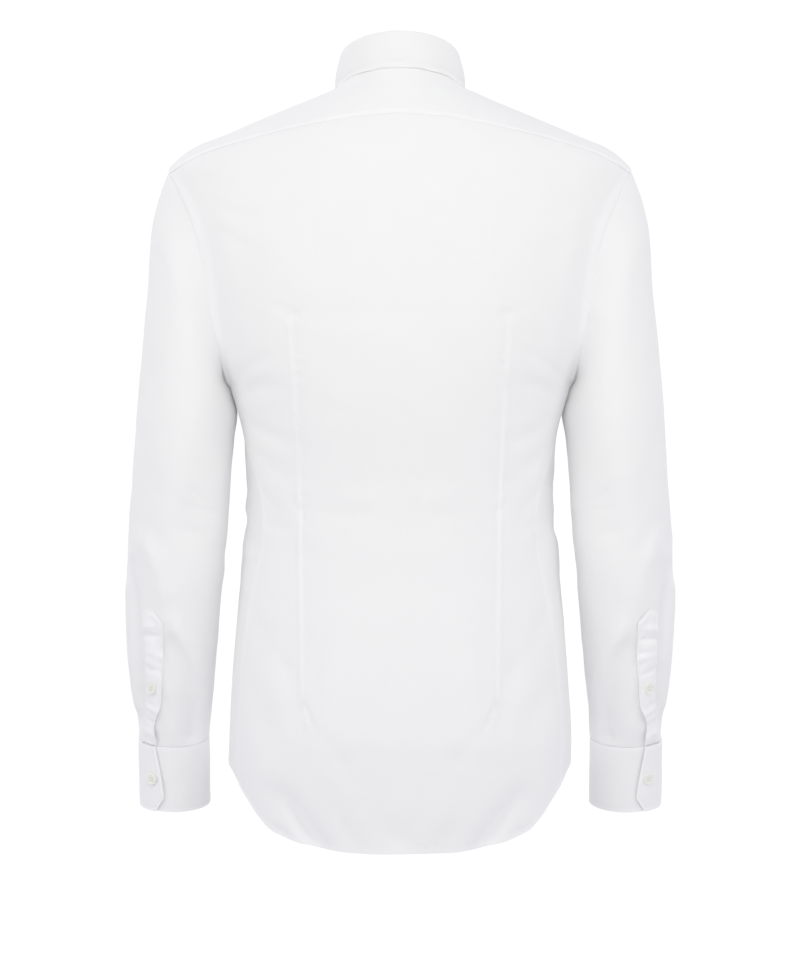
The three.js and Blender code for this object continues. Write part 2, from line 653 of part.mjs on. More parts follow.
// The stand's lower edge, set beside the neck edge.
function standBase(angle) {
  const edge = neckEdge(angle);
  const tangent = neckEdge(angle + 1).sub(neckEdge(angle - 1)).normalize();
  const normal = bodyNormal(planAngle(edge), Math.min(edge.z, BODY[0].z - 1));
  const out = tangent.clone().cross(normal).normalize();
  if (out.dot(new THREE.Vector3(-edge.x, -edge.y, 0)) < 0) out.negate();
  const along = standTop(angle).sub(edge);
  along.addScaledVector(tangent, -along.dot(tangent)).normalize();
  return startBeside(edge, out, normal, along, DOUBLED);
}

// The stand's surface at an angle, past 180 at its lapped left end, and a share of its height.
function standPoint(angle, share) {
  const point = standBase(angle).lerp(standTop(angle), share);
  const past = rad(Math.abs(angle) - 180) * NECK.halfDepth;
  const lift = STAND_LIFT * Math.sign(angle) * smoothstep(past, -OVERLAP.ramp, -OVERLAP.width);
  const flat = new THREE.Vector3(point.x, point.y, 0).normalize();
  return point.addScaledVector(flat, lift * share);
}

const standNormal = (angle, share) => normalOf(standPoint, angle, share, 0.5, 0.05, -1);

function standPlace(columns, rows) {
  return (column, row) => {
    const end = neckEnd();
    const angle = lerp(-end, end, column / columns);
    const toEnd = rad(end - Math.abs(angle)) * NECK.halfDepth;
    const round = clamp(1 - toEnd / STAND_END.round, 0, 1);
    const share = (row / rows) * (1 - STAND_END.drop * round ** 2);
    return { point: standPoint(angle, share), normal: standNormal(angle, share) };
  };
}

// The leaf's surface: it rises from the stand's top edge, rolls over it and falls to its outer edge.
function leafPoint(angle, v) {
  const top = standPoint(angle, 1);
  const upward = top.clone().sub(standBase(angle)).normalize();
  const tangent = standTop(angle + 1).sub(standTop(angle - 1)).normalize();
  const outward = upward.clone().cross(tangent).normalize();
  if (outward.dot(new THREE.Vector3(top.x, top.y, 0)) < 0) outward.negate();
  const arc = Math.PI * clamp(v, 0, 1);
  const point = top.clone().addScaledVector(upward, SEAM_GAP + ROLL * Math.sin(arc));
  point.addScaledVector(outward, ROLL * (1 - Math.cos(arc)));
  if (v <= 1) return point;
  const edge = leafEdge(angle);
  const fall = v - 1;
  return point.lerp(edge, fall).addScaledVector(outward, LEAF_BULGE * Math.sin(Math.PI * fall));
}

function leafEdge(angle) {
  const at = (column) => follow(LEAF_EDGE, "angle", column, Math.abs(angle));
  const [x, y] = [at("x"), at("y")];
  const rest = shoulderHeight(x, y) + CLOTH + LEAF_CLOTH + LEAF_REST;
  return new THREE.Vector3(Math.sign(angle) * x, y, Math.max(at("z"), rest));
}

function leafPlace(columns, rows) {
  return (column, row) => {
    const share = (2 * column) / columns - 1;
    const angle = LEAF_START * Math.sign(share) * Math.abs(share) ** LEAF_SPACING;
    const v = row <= ROLL_ROWS ? row / ROLL_ROWS : 1 + (row - ROLL_ROWS) / (rows - ROLL_ROWS);
    return { point: leafPoint(angle, v), normal: normalOf(leafPoint, angle, v, 0.5, 0.02) };
  };
}

// A closed wall through a grid of places. Each edge is drawn back by half the gap of a seam.
function wall({ columns, rows, place, thickness, closed = false, mirrored = false }) {
  const across = closed ? columns : columns + 1;
  const spots = [];
  for (let row = 0; row <= rows; row++) {
    for (let column = 0; column < across; column++) spots.push(place(column, row));
  }
  const index = (column, row) => row * across + (closed ? (column + across) % across : column);
  drawEdgesBack(spots, index, across - 1, rows, closed);
  const positions = [];
  for (const side of [0.5, -0.5]) {
    for (const { point, normal } of spots) {
      const p = point.clone().addScaledVector(normal, side * thickness);
      positions.push(mirrored ? -p.x : p.x, p.y, p.z);
    }
  }
  const faces = [];
  const quad = (a, b, c, d) => faces.push(a, b, c, a, c, d);
  const under = spots.length;
  for (let row = 0; row < rows; row++) {
    for (let column = 0; column < columns; column++) {
      const corners = [
        index(column, row),
        index(column + 1, row),
        index(column + 1, row + 1),
        index(column, row + 1),
      ];
      quad(...corners);
      quad(...corners.map((k) => k + under).reverse());
    }
  }
  const rim = (a, b) => quad(a, a + under, b + under, b);
  for (let column = 0; column < columns; column++) {
    rim(index(column, 0), index(column + 1, 0));
    rim(index(column + 1, rows), index(column, rows));
  }
  for (let row = 0; row < rows && !closed; row++) {
    rim(index(0, row + 1), index(0, row));
    rim(index(columns, row), index(columns, row + 1));
  }
  const geometry = new THREE.BufferGeometry();
  geometry.setAttribute("position", new THREE.Float32BufferAttribute(positions, 3));
  geometry.setIndex(volumeOf(positions, faces) < 0 ? faces.reverse() : faces);
  return geometry;
}

// Moves the outermost points of a grid in by half the seam's gap, square to the edge.
function drawEdgesBack(spots, index, lastColumn, lastRow, closed) {
  const moves = [];
  const note = (at, inner, before, after) => {
    const tangent = spots[after].point.clone().sub(spots[before].point).normalize();
    const inward = spots[inner].point.clone().sub(spots[at].point);
    inward.addScaledVector(tangent, -inward.dot(tangent)).setLength(SEAM_GAP / 2);
    moves.push([at, inward]);
  };
  const near = (k, last) => [Math.max(k - 1, 0), Math.min(k + 1, last)];
  for (let column = 0; column <= lastColumn; column++) {
    const [before, after] = closed ? [column - 1, column + 1] : near(column, lastColumn);
    note(index(column, 0), index(column, 1), index(before, 0), index(after, 0));
    note(
      index(column, lastRow),
      index(column, lastRow - 1),
      index(before, lastRow),
      index(after, lastRow),
    );
  }
  for (let row = 0; row <= lastRow && !closed; row++) {
    const [before, after] = near(row, lastRow);
    note(index(0, row), index(1, row), index(0, before), index(0, after));
    note(
      index(lastColumn, row),
      index(lastColumn - 1, row),
      index(lastColumn, before),
      index(lastColumn, after),
    );
  }
  for (const [at, move] of moves) spots[at].point.add(move);
}

function volumeOf(positions, faces) {
  const corner = (k) => new THREE.Vector3().fromArray(positions, 3 * k);
  let volume = 0;
  for (let f = 0; f < faces.length; f += 3) {
    const [a, b, c] = [corner(faces[f]), corner(faces[f + 1]), corner(faces[f + 2])];
    volume += a.dot(b.cross(c)) / 6;
  }
  return volume;
}

// A button, turned on a lathe, with its back at z = 0.
function buttonGeometry() {
  const { radius, thickness, rim, dish, edge, round, segments } = BUTTON;
  const profile = [
    [0, 0],
    [radius - edge, 0],
    [radius, edge],
    [radius - round, thickness],
    [radius - rim, thickness],
    [radius - rim - dish, thickness - dish],
    [0, thickness - dish],
  ].map(([x, y]) => new THREE.Vector2(x, y));
  return new THREE.LatheGeometry(profile, segments).rotateX(Math.PI / 2);
}

const cotton = new THREE.MeshStandardMaterial({ color: 0xf1f1f3, roughness: 0.85, metalness: 0 });
const pearl = new THREE.MeshStandardMaterial({ color: 0xe9e8dc, roughness: 0.35, metalness: 0 });

const shirt = new THREE.Group();

function addCloth(name, shape) {
  const mesh = new THREE.Mesh(wall({ thickness: CLOTH, ...shape }), cotton.clone());
  mesh.name = name;
  shirt.add(mesh);
}

// A button on a face: its back lies the seam's gap off the point.
function addButton(name, { point, normal }, mirrored = false) {
  const mesh = new THREE.Mesh(buttonGeometry(), pearl.clone());
  mesh.name = name;
  mesh.position.copy(point).addScaledVector(normal, SEAM_GAP);
  const facing = normal.clone();
  if (mirrored) {
    mesh.position.x *= -1;
    facing.x *= -1;
  }
  mesh.quaternion.setFromUnitVectors(UP, facing);
  shirt.add(mesh);
}

const panelRows = LOWER_ROWS + UPPER_ROWS;
addCloth("back", { columns: BACK_COLUMNS, rows: panelRows, place: backPlace });
addCloth("yoke", {
  columns: BACK_COLUMNS + 2 * YOKE_SIDE_COLUMNS,
  rows: YOKE_ROWS,
  place: yokePlace,
});
const frontColumns = FRONT_SIDE_COLUMNS + FRONT_NECK_COLUMNS;
addCloth("front_left", { columns: frontColumns, rows: panelRows, place: frontPlace(1) });
addCloth("front_right", { columns: frontColumns, rows: panelRows, place: frontPlace(-1) });

for (const [side, mirrored] of [["left", false], ["right", true]]) {
  addCloth("sleeve_" + side, {
    columns: SLEEVE_AROUND,
    rows: SLEEVE_RINGS,
    place: sleevePlace,
    closed: true,
    mirrored,
  });
  const placket = { columns: 4, rows: 11 };
  addCloth("sleeve_placket_" + side, {
    ...placket,
    place: placketPlace(placket.columns, placket.rows),
    mirrored,
  });
  addCloth("cuff_" + side, {
    columns: CUFF_COLUMNS,
    rows: 2,
    place: cuffPlace(CUFF_COLUMNS, 2),
    thickness: DOUBLED,
    mirrored,
  });
  const cuffDown = CUFF.height * CUFF_BUTTON.share;
  const cuffFace = cuffNormal(CUFF_BUTTON.angle, cuffDown);
  const onCuff = cuffPoint(CUFF_BUTTON.angle, cuffDown).addScaledVector(cuffFace, DOUBLED / 2);
  addButton("button_cuff_" + side, { point: onCuff, normal: cuffFace }, mirrored);
  const at = (name) => follow(PLACKET, "z", name, SLEEVE_BUTTON.z);
  const middle = (at("outer") + at("inner")) / 2;
  const sleeveFace = sleeveNormal(middle, SLEEVE_BUTTON.z);
  const onPlacket = sleevePoint(middle, SLEEVE_BUTTON.z);
  onPlacket.addScaledVector(sleeveFace, placketLift(SLEEVE_BUTTON.z, 0.5) + CLOTH / 2);
  addButton("button_sleeve_" + side, { point: onPlacket, normal: sleeveFace }, mirrored);
}

addCloth("collar_stand", {
  columns: STAND_COLUMNS,
  rows: 2,
  place: standPlace(STAND_COLUMNS, 2),
  thickness: DOUBLED,
});
addCloth("collar_leaf", {
  columns: LEAF_COLUMNS,
  rows: ROLL_ROWS + LEAF_ROWS,
  place: leafPlace(LEAF_COLUMNS, ROLL_ROWS + LEAF_ROWS),
  thickness: LEAF_CLOTH,
});

for (let k = 0; k < FRONT_BUTTONS.count; k++) {
  const z = FRONT_BUTTONS.first - k * FRONT_BUTTONS.spacing;
  addButton("button_front_" + (k + 1), onBody(180, z, OVERLAP.lift + CLOTH / 2));
}
const standFace = standNormal(180, 0.5);
addButton("button_collar", {
  point: standPoint(180, 0.5).addScaledVector(standFace, DOUBLED / 2),
  normal: standFace,
});

export default shirt;
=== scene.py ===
# %% [markdown]
# # A long sleeve dress shirt, seen from behind
#
# The shirt stands in the shape it has when it is worn, with nobody in it. It is sewn from a back, a
# yoke, two fronts, two sleeves with plackets and cuffs, and a collar in two parts, and it closes with
# small buttons. The imported solids give every size. Here each cloth part is drawn again as a thin,
# finely divided sheet with its creases and seams, and the sewing is added.

# %% Helpers, and the solids from model.glb with their places baked in
import math

import bpy
import numpy as np
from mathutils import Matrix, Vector


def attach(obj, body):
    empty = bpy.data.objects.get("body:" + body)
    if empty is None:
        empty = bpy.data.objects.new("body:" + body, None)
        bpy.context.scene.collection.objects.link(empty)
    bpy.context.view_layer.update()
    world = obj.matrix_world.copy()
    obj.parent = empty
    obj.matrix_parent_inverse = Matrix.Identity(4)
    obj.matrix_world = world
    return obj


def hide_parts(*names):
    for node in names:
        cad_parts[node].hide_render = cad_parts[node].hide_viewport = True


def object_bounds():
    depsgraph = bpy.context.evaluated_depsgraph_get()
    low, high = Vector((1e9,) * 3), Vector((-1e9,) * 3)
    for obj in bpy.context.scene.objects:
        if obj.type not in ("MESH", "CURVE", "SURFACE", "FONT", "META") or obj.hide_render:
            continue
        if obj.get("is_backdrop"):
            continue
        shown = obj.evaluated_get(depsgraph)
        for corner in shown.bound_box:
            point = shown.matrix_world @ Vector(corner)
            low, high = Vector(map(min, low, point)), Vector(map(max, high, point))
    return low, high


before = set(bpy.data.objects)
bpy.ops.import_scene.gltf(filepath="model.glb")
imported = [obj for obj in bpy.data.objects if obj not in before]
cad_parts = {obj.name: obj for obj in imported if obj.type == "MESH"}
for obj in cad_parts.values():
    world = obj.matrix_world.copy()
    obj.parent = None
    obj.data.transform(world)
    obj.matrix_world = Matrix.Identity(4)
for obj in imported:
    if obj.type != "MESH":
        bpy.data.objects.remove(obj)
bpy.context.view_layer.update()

# %% [markdown]
# ## Tables and curves
#
# A pattern cutter keeps sizes in small tables, a row for each height or angle. A smooth curve through
# the rows gives every size between them, so a few numbers describe a whole body or sleeve. The tables
# are the same as the solids', in millimetres, so the cloth lies exactly where they are.

# %% Read a table and follow its curve


def table(columns, rows):
    return {name: np.array(values, float) for name, values in zip(columns.split(), zip(*rows))}


def follow(rows, by, column, at):
    x, y = rows[by], rows[column]
    if x[0] > x[-1]:
        x, y = x[::-1], y[::-1]
    slope = np.empty(len(x))
    slope[0], slope[-1] = (y[1] - y[0]) / (x[1] - x[0]), (y[-1] - y[-2]) / (x[-1] - x[-2])
    slope[1:-1] = (y[2:] - y[:-2]) / (x[2:] - x[:-2])
    i = np.clip(np.searchsorted(x, at, side="right") - 1, 0, len(x) - 2)
    width = x[i + 1] - x[i]
    t = np.clip((at - x[i]) / width, 0, 1)
    return ((2 * t**3 - 3 * t**2 + 1) * y[i] + (t**3 - 2 * t**2 + t) * width * slope[i]
            + (3 * t**2 - 2 * t**3) * y[i + 1] + (t**3 - t**2) * width * slope[i + 1])


def smooth(x, low, high):
    t = np.clip((x - low) / (high - low), 0, 1)
    return t * t * (3 - 2 * t)


def mix(a, b, t):
    return a + (b - a) * t


def points(x, y, z):
    return np.stack(np.broadcast_arrays(x, y, z), -1).astype(float)


def unit(v):
    return v / np.maximum(np.linalg.norm(v, axis=-1, keepdims=True), 1e-9)


# %% The body's sections, from the neck down
BODY = table("z side back front square", [
    (15, 58, 61, 18, 2), (6, 60.5, 64, 21, 2), (0, 63.5, 67, 24.5, 2), (-5, 75, 70, 27, 2),
    (-11, 89, 73, 34, 2), (-22, 116, 79, 48, 2), (-34, 145.5, 85, 61, 2), (-46, 173.5, 91, 72, 2),
    (-58, 203, 96, 81, 2), (-70, 220.5, 100.5, 88, 2), (-82, 230.5, 104.5, 94, 2),
    (-120, 230, 114, 107, 2.1), (-160, 215, 121, 116, 2.2), (-200, 200, 125, 121, 2.25),
    (-250, 185, 127, 124, 2.25), (-298, 168, 125, 123, 2.25), (-320, 161, 122, 121, 2.25),
    (-345, 155.5, 118, 118, 2.25), (-380, 153.5, 112, 114, 2.2), (-425, 153.5, 108, 111, 2.2),
    (-480, 157.5, 109, 110, 2.2), (-540, 163, 115, 112, 2.25), (-600, 167.5, 121, 114, 2.3),
    (-650, 170, 122, 113, 2.3), (-700, 169, 113, 109, 2.25), (-760, 163, 98, 102, 2.2),
])
ARMHOLE_TOP, ARMHOLE_BOTTOM = (230.5, -82.0), (168.0, -298.0)
SIDE_SEAM = table("z y", [(-298, 0), (-322, 3), (-348, 18), (-375, 38), (-400, 50), (-432, 55),
                          (-485, 52), (-545, 48), (-620, 50), (-752, 48)])
HEM = table("angle z", [(0, -753), (16, -752.8), (30, -752), (46, -746), (54, -740), (60, -732),
                        (64.8, -717), (68, -704.5), (72.3, -690.5), (78.4, -677), (90, -670),
                        (104, -669), (116, -680), (130, -704), (146, -727), (162, -739),
                        (180, -742)])
HEM_SEAM_ANGLE = 73.5
YOKE_SEAM = table("x z", [(0, -32), (47, -36), (86, -42), (120, -49), (165, -60), (192, -68),
                          (212, -77), (227, -85)])
YOKE_END_BACK, YOKE_END_FRONT = 13.5, 16.0
NECK_WIDTH, NECK_Y, NECK_DEPTH, NECK_YOKE_END, NECK_CORNER = 62.0, -4.5, 65.5, 110.0, 84.0
OVERLAP_WIDTH, OVERLAP_LIFT, OVERLAP_RAMP = 15.0, 1.05, 34.0
BODY_DEGREE, SLEEVE_DEGREE = 2.4, 0.95  # mm round the cloth for one degree
BODY_FOLDS = [
    # angle0, z0, angle1, z1, width, depth: the large soft folds that the solids have too
    (52, -702, 40, -748, 13, 6), (44, -560, 46, -618, 20, 3), (78, -395, 74, -455, 22, 3.5),
    (100, -470, 112, -640, 24, -3.5), (128, -380, 138, -600, 26, 3.5), (118, -250, 140, -380, 24, 3),
]
print("body sections:", len(BODY["z"]))

# %% Curves of the body: armhole, sections, shoulders and seams


def armhole(angle):
    a = np.radians(angle)
    up, s = (1 + np.cos(a)) / 2, np.sin(a)
    scoop, depth = np.where(s >= 0, 10.0, 17.0), np.where(s >= 0, 62.0, 52.0)
    x = mix(ARMHOLE_BOTTOM[0], ARMHOLE_TOP[0], up) - s**2 * (scoop + 11 * np.cos(a))
    return points(x, depth * s, mix(ARMHOLE_BOTTOM[1], ARMHOLE_TOP[1], up))


def armhole_angle(z):
    share = (z - ARMHOLE_BOTTOM[1]) / (ARMHOLE_TOP[1] - ARMHOLE_BOTTOM[1])
    return np.degrees(np.arccos(np.clip(2 * share - 1, -1, 1)))


def section(z, on_back):
    z, on_back = np.broadcast_arrays(np.asarray(z, float), on_back)
    square, side = follow(BODY, "z", "square", z), follow(BODY, "z", "side", z)
    depth = np.where(on_back, follow(BODY, "z", "back", z), follow(BODY, "z", "front", z))
    edge = armhole(np.where(on_back, 1, -1) * armhole_angle(z))
    share = np.clip(np.abs(edge[..., 1]) / depth, 0, 0.95) ** square
    beside = (z < ARMHOLE_TOP[1]) & (z > ARMHOLE_BOTTOM[1])
    return np.where(beside, edge[..., 0] / (1 - share) ** (1 / square), side), depth, square


def fold_depth(folds, per_degree, angle, z):
    depth = 0
    for angle0, z0, angle1, z1, width, deep in folds:
        along_u, along_v = (angle1 - angle0) * per_degree, z1 - z0
        u, v = (angle - angle0) * per_degree, z - z0
        t = np.clip((u * along_u + v * along_v) / (along_u**2 + along_v**2), 0, 1)
        away = np.hypot(u - t * along_u, v - t * along_v)
        depth = depth - deep * np.exp(-((away / width) ** 2))
    return depth


def reach(angle, z):
    a = np.radians(angle)
    side, depth, square = section(z, np.cos(a) >= 0)
    out = ((np.abs(np.sin(a)) / side) ** square + (np.abs(np.cos(a)) / depth) ** square) ** (-1 / square)
    return out + fold_depth(BODY_FOLDS, BODY_DEGREE, 180 - np.abs(180 - np.abs(angle)), z)


def body_point(angle, z):
    r, a = reach(angle, z), np.radians(angle)
    return points(r * np.sin(a), r * np.cos(a), z)


def body_normal(angle, z):
    around = body_point(angle + 0.3, z) - body_point(angle - 0.3, z)
    upward = body_point(angle, z + 0.5) - body_point(angle, z - 0.5)
    return unit(np.cross(upward, around))


def shoulder_height(x, y):
    high, low = np.full(np.shape(x), 15.0), np.full(np.shape(x), -102.0)
    for _ in range(34):
        z = (high + low) / 2
        side, depth, square = section(z, y >= 0)
        inside = (np.abs(x) / side) ** square + (np.abs(y) / depth) ** square < 1
        low, high = np.where(inside, z, low), np.where(inside, high, z)
    return (high + low) / 2


def plan_angle(p):
    return np.degrees(np.arctan2(p[..., 0], p[..., 1])) % 360


def side_angle(z, on_back):
    z = np.asarray(z, float)
    low = np.minimum(z, ARMHOLE_BOTTOM[1])
    y = follow(SIDE_SEAM, "z", "y", low)
    side, depth, square = section(low, True)
    seam = np.degrees(np.arctan2(side * (1 - np.abs(y / depth) ** square) ** (1 / square), y))
    end = YOKE_END_BACK if on_back else YOKE_END_FRONT
    edge = armhole((1 if on_back else -1) * np.maximum(armhole_angle(z), end))
    return np.where(z <= ARMHOLE_BOTTOM[1], seam, plan_angle(edge))


def neck_seam(angle):
    a = np.radians(angle)
    x, y = NECK_WIDTH * np.sin(a), NECK_Y + NECK_DEPTH * np.cos(a)
    return points(x, y, shoulder_height(x, y))


def front_yoke_seam(share):
    neck, arm = neck_seam(np.array(NECK_YOKE_END)), armhole(np.array(-YOKE_END_FRONT))
    p = neck + (arm - neck) * np.asarray(share)[..., None]
    return points(p[..., 0], p[..., 1], np.where(share < 1, shoulder_height(p[..., 0], p[..., 1]), arm[2]))


def back_yoke_seam(share):
    x = armhole(np.array(YOKE_END_BACK))[0] * share
    z = follow(YOKE_SEAM, "x", "z", x)
    side, depth, square = section(z, True)
    return points(x, depth * (1 - (x / side) ** square) ** (1 / square), z)


def overlap_angle(z):
    return 180 + np.degrees(OVERLAP_WIDTH / follow(BODY, "z", "front", z))


def overlap_lift(angle, z):
    past = np.radians(angle - 180) * follow(BODY, "z", "front", z)
    return OVERLAP_LIFT * smooth(past, -OVERLAP_RAMP, -OVERLAP_WIDTH)


print("neck ring:", round(2 * math.pi * (NECK_WIDTH + NECK_DEPTH) / 2 / 10, 1), "cm")

# %% [markdown]
# ## Cloth from a grid
#
# A sewn panel is a sheet with four sides, so it is drawn as a grid of points that runs from one seam to
# the next. The grid is finer beside its edges, where the cloth turns down into the seam. Creases move
# its points along its own normals, and the Solidify modifier then gives it the cloth's thickness.
# Blender could also drape it with a simulation, but these creases are few and known, so they are
# given one by one, each with its own length, width and depth.

# %% Grid helpers


def steps(count, length, fine=(0.7, 1.5, 2.6, 4.2)):
    """Shares from 0 to 1, with extra ones at these distances in mm from both ends."""
    near = np.array(fine) / length
    inner = np.linspace(0, 1, count + 1)
    inner = inner[(inner > near[-1] * 1.4) & (inner < 1 - near[-1] * 1.4)]
    return np.concatenate([[0], near, inner, 1 - near[::-1], [1]])


def outward_normals(p, closed=False):
    around = np.roll(p, -1, 1) - np.roll(p, 1, 1) if closed else np.gradient(p, axis=1)
    normals = unit(np.cross(around, np.gradient(p, axis=0)))
    return normals if np.sum(normals * (p - p.mean((0, 1)))) > 0 else -normals


def raised(p, lift, closed=False):
    """The grid moved outwards along its own normals, by mm."""
    return p + outward_normals(p, closed) * np.asarray(lift)[..., None]


def edge_distance(p):
    """How far each point of a grid lies from the grid's left, right, lower and upper edges, in mm."""
    step_across, step_up = (np.linalg.norm(np.diff(p, axis=axis), axis=-1) for axis in (1, 0))
    across = np.concatenate([np.zeros((len(p), 1)), np.cumsum(step_across, 1)], 1)
    up = np.concatenate([np.zeros((1, p.shape[1])), np.cumsum(step_up, 0)], 0)
    return across, across[:, -1:] - across, up, up[-1:] - up


def even_out(p, rounds):
    """Softens small kinks inside a grid and leaves its edges where they are."""
    for _ in range(rounds):
        inner = (p[:-2, 1:-1] + p[2:, 1:-1] + p[1:-1, :-2] + p[1:-1, 2:]) / 4
        p[1:-1, 1:-1] += 0.5 * (inner - p[1:-1, 1:-1])
    return p


def choose(piece):
    """Selects one object alone, so that the next operator acts on it."""
    bpy.ops.object.select_all(action="DESELECT")
    piece.select_set(True)
    bpy.context.view_layer.objects.active = piece


def new_piece(name, corners, faces, material):
    """An object with its own mesh, through corners in mm."""
    mesh = bpy.data.meshes.new(name)
    mesh.from_pydata((corners / 1000).tolist(), [], faces)
    mesh.materials.append(material)
    piece = bpy.data.objects.new(name, mesh)
    bpy.context.scene.collection.objects.link(piece)
    return piece


def cloth(name, p, thickness, material, closed=False, both=None, layers_and_highlight=0.0):
    """A sheet through a grid of points in mm, with its wall inside them and a UV map in metres.

    The last argument is 1 where hidden folds of cloth lie behind the sheet and make it whiter, and where a painted
    highlight stands for light catching seams, darts and edges.
    """
    rows, columns = p.shape[:2]
    around = columns if closed else columns - 1
    index = np.arange(rows * columns).reshape(rows, columns)
    right = np.roll(index, -1, 1)[:, :around]
    left = index[:, :around]
    faces = np.stack([left[:-1], right[:-1], right[1:], left[1:]], -1).reshape(-1, 4)
    piece = new_piece(name, p.reshape(-1, 3), faces.tolist(), material)
    across, _, up, _ = edge_distance(p)
    middle = across[:, columns // 2:columns // 2 + 1]
    flat = np.stack([across - middle, up], -1).reshape(-1, 2) / 1000
    turn = np.linalg.norm(p[:, -1] - p[:, 0], axis=-1) / 1000
    corner = flat[faces]
    if closed:
        last = np.arange(len(faces)) % around == around - 1
        row = np.arange(len(faces)) // around
        corner[last, 1, 0] = corner[last, 0, 0] + turn[row[last]]
        corner[last, 2, 0] = corner[last, 3, 0] + turn[row[last] + 1]
    uv = piece.data.uv_layers.new(name="cloth")
    uv.data.foreach_set("uv", corner.reshape(-1).astype(np.float32))
    # Per point: doubled cloth made whiter, and painted highlight along seams, darts and edges.
    mark = piece.data.attributes.new("layers_and_highlight", "FLOAT", "POINT")
    mark.data.foreach_set("value", (layers_and_highlight + 0 * p[..., 0]).reshape(-1).astype(np.float32))
    wall = piece.modifiers.new("wall", "SOLIDIFY")
    wall.thickness, wall.offset, wall.use_even_offset = thickness / 1000, -1, False
    if both:
        soft = piece.modifiers.new("edge", "BEVEL")
        soft.width, soft.segments, soft.limit_method = both / 1000, 2, "ANGLE"
    choose(piece)
    for modifier in list(piece.modifiers):
        bpy.ops.object.modifier_apply(modifier=modifier.name)
    bpy.ops.object.shade_smooth_by_angle(angle=math.radians(50))
    print(name, "points", len(piece.data.vertices), "triangles about", 2 * len(piece.data.polygons))
    return piece


# %% [markdown]
# ## Materials
#
# The cloth is fine cotton poplin: bleached, tightly woven and pressed, so it is matt with the faintest
# sheen on edges that face away. Its threads are about 0.2 mm apart, too fine to show at this distance,
# so the weave is drawn coarser. Under it lies a slow unevenness, as pressed cloth has. Thin cloth looks
# whiter where folded seam allowances lie behind it, and an attribute of each sheet tells the material
# where. The same whiter shade is also painted highlight: it runs along seams, darts and edges where
# light catches the raised cloth, wider than the allowances in places. The buttons are polyester resin
# made to look like shell, cream and glossy. The sewing thread is polyester, a touch whiter than the
# cloth and shinier.

# %% Colours and nodes


def linear(code):
    values = [int(code[i:i + 2], 16) / 255 for i in (1, 3, 5)]
    return (*[v / 12.92 if v <= 0.04045 else ((v + 0.055) / 1.055) ** 2.4 for v in values], 1.0)


def add_node(tree, kind, settings=None, links=None):
    node = tree.nodes.new(kind)
    for key, value in (settings or {}).items():
        if key in node.inputs:
            node.inputs[key].default_value = value
        else:
            setattr(node, key, value)
    for key, source in (links or {}).items():
        tree.links.new(source, node.inputs[key])
    return node


def new_material(name, settings):
    material = bpy.data.materials.new(name)
    material.use_nodes = True
    tree = material.node_tree
    skin = tree.nodes["Principled BSDF"]
    for socket, value in settings.items():
        skin.inputs[socket].default_value = value
    return material, tree, skin


def two_shades(tree, place, settings, dark, light):
    """A colour that wanders between two shades, by a noise on Object coordinates."""
    cloud = add_node(tree, "ShaderNodeTexNoise", settings, {"Vector": place.outputs["Object"]})
    shade = add_node(tree, "ShaderNodeMix", {"data_type": "RGBA"}, {"Factor": cloud.outputs["Fac"]})
    shade.inputs["A"].default_value, shade.inputs["B"].default_value = linear(dark), linear(light)
    return shade.outputs["Result"]


# %% Cotton poplin
WEAVE_SCALE = 1 / 0.0009
poplin, tree, skin = new_material("cotton_poplin", {
    "Roughness": 0.85, "Sheen Weight": 0.1, "Sheen Roughness": 0.4, "Specular IOR Level": 0.25, "IOR": 1.5})
uv = add_node(tree, "ShaderNodeUVMap", {"uv_map": "cloth"})
place = add_node(tree, "ShaderNodeTexCoord")
tone = two_shades(tree, place, {"Scale": 26.0, "Detail": 3.0}, "#F1F1F2", "#F4F4F4")
# Doubled cloth and painted highlight: the whiter shade #F9F9FB where the sheet's attribute is 1, for seam allowances
# and for light catching seams and edges.
seams = add_node(tree, "ShaderNodeAttribute", {"attribute_name": "layers_and_highlight"})
whiter = add_node(tree, "ShaderNodeMix", {"data_type": "RGBA"},
                  {"Factor": seams.outputs["Fac"], "A": tone})
whiter.inputs["B"].default_value = linear("#F9F9FB")
tree.links.new(whiter.outputs["Result"], skin.inputs["Base Color"])
warp = add_node(tree, "ShaderNodeTexWave", {"Scale": WEAVE_SCALE / 6.283, "bands_direction": "X"},
                {"Vector": uv.outputs["UV"]})
weft = add_node(tree, "ShaderNodeTexWave", {"Scale": WEAVE_SCALE / 6.283, "bands_direction": "Y"},
                {"Vector": uv.outputs["UV"]})
weave = add_node(tree, "ShaderNodeMath", {"operation": "ADD"})
tree.links.new(warp.outputs["Fac"], weave.inputs[0])
tree.links.new(weft.outputs["Fac"], weave.inputs[1])
slow = add_node(tree, "ShaderNodeTexNoise", {"Scale": 60.0, "Detail": 4.0, "Roughness": 0.55},
                {"Vector": place.outputs["Object"]})
slub = add_node(tree, "ShaderNodeBump", {"Strength": 0.35, "Distance": 0.0012},
                {"Height": slow.outputs["Fac"]})
tooth = add_node(tree, "ShaderNodeBump", {"Strength": 0.12, "Distance": 0.0002},
                 {"Height": weave.outputs["Value"], "Normal": slub.outputs["Normal"]})
tree.links.new(tooth.outputs["Normal"], skin.inputs["Normal"])

# %% Button resin and sewing thread
resin, tree, skin = new_material("polyester_button_resin", {
    "Roughness": 0.22, "IOR": 1.55, "Coat Weight": 0.3, "Coat Roughness": 0.1})
place = add_node(tree, "ShaderNodeTexCoord")
swirl = two_shades(tree, place, {"Scale": 320.0, "Detail": 2.0, "Distortion": 1.5}, "#E9E8D8", "#F5F4E8")
tree.links.new(swirl, skin.inputs["Base Color"])
thread, tree, skin = new_material("polyester_sewing_thread", {"Roughness": 0.55, "Sheen Weight": 0.1})
place = add_node(tree, "ShaderNodeTexCoord")
fibre = two_shades(tree, place, {"Scale": 900.0, "Detail": 2.0}, "#E9E9EC", "#F6F6F8")
tree.links.new(fibre, skin.inputs["Base Color"])
print("materials:", poplin.name, resin.name, thread.name)

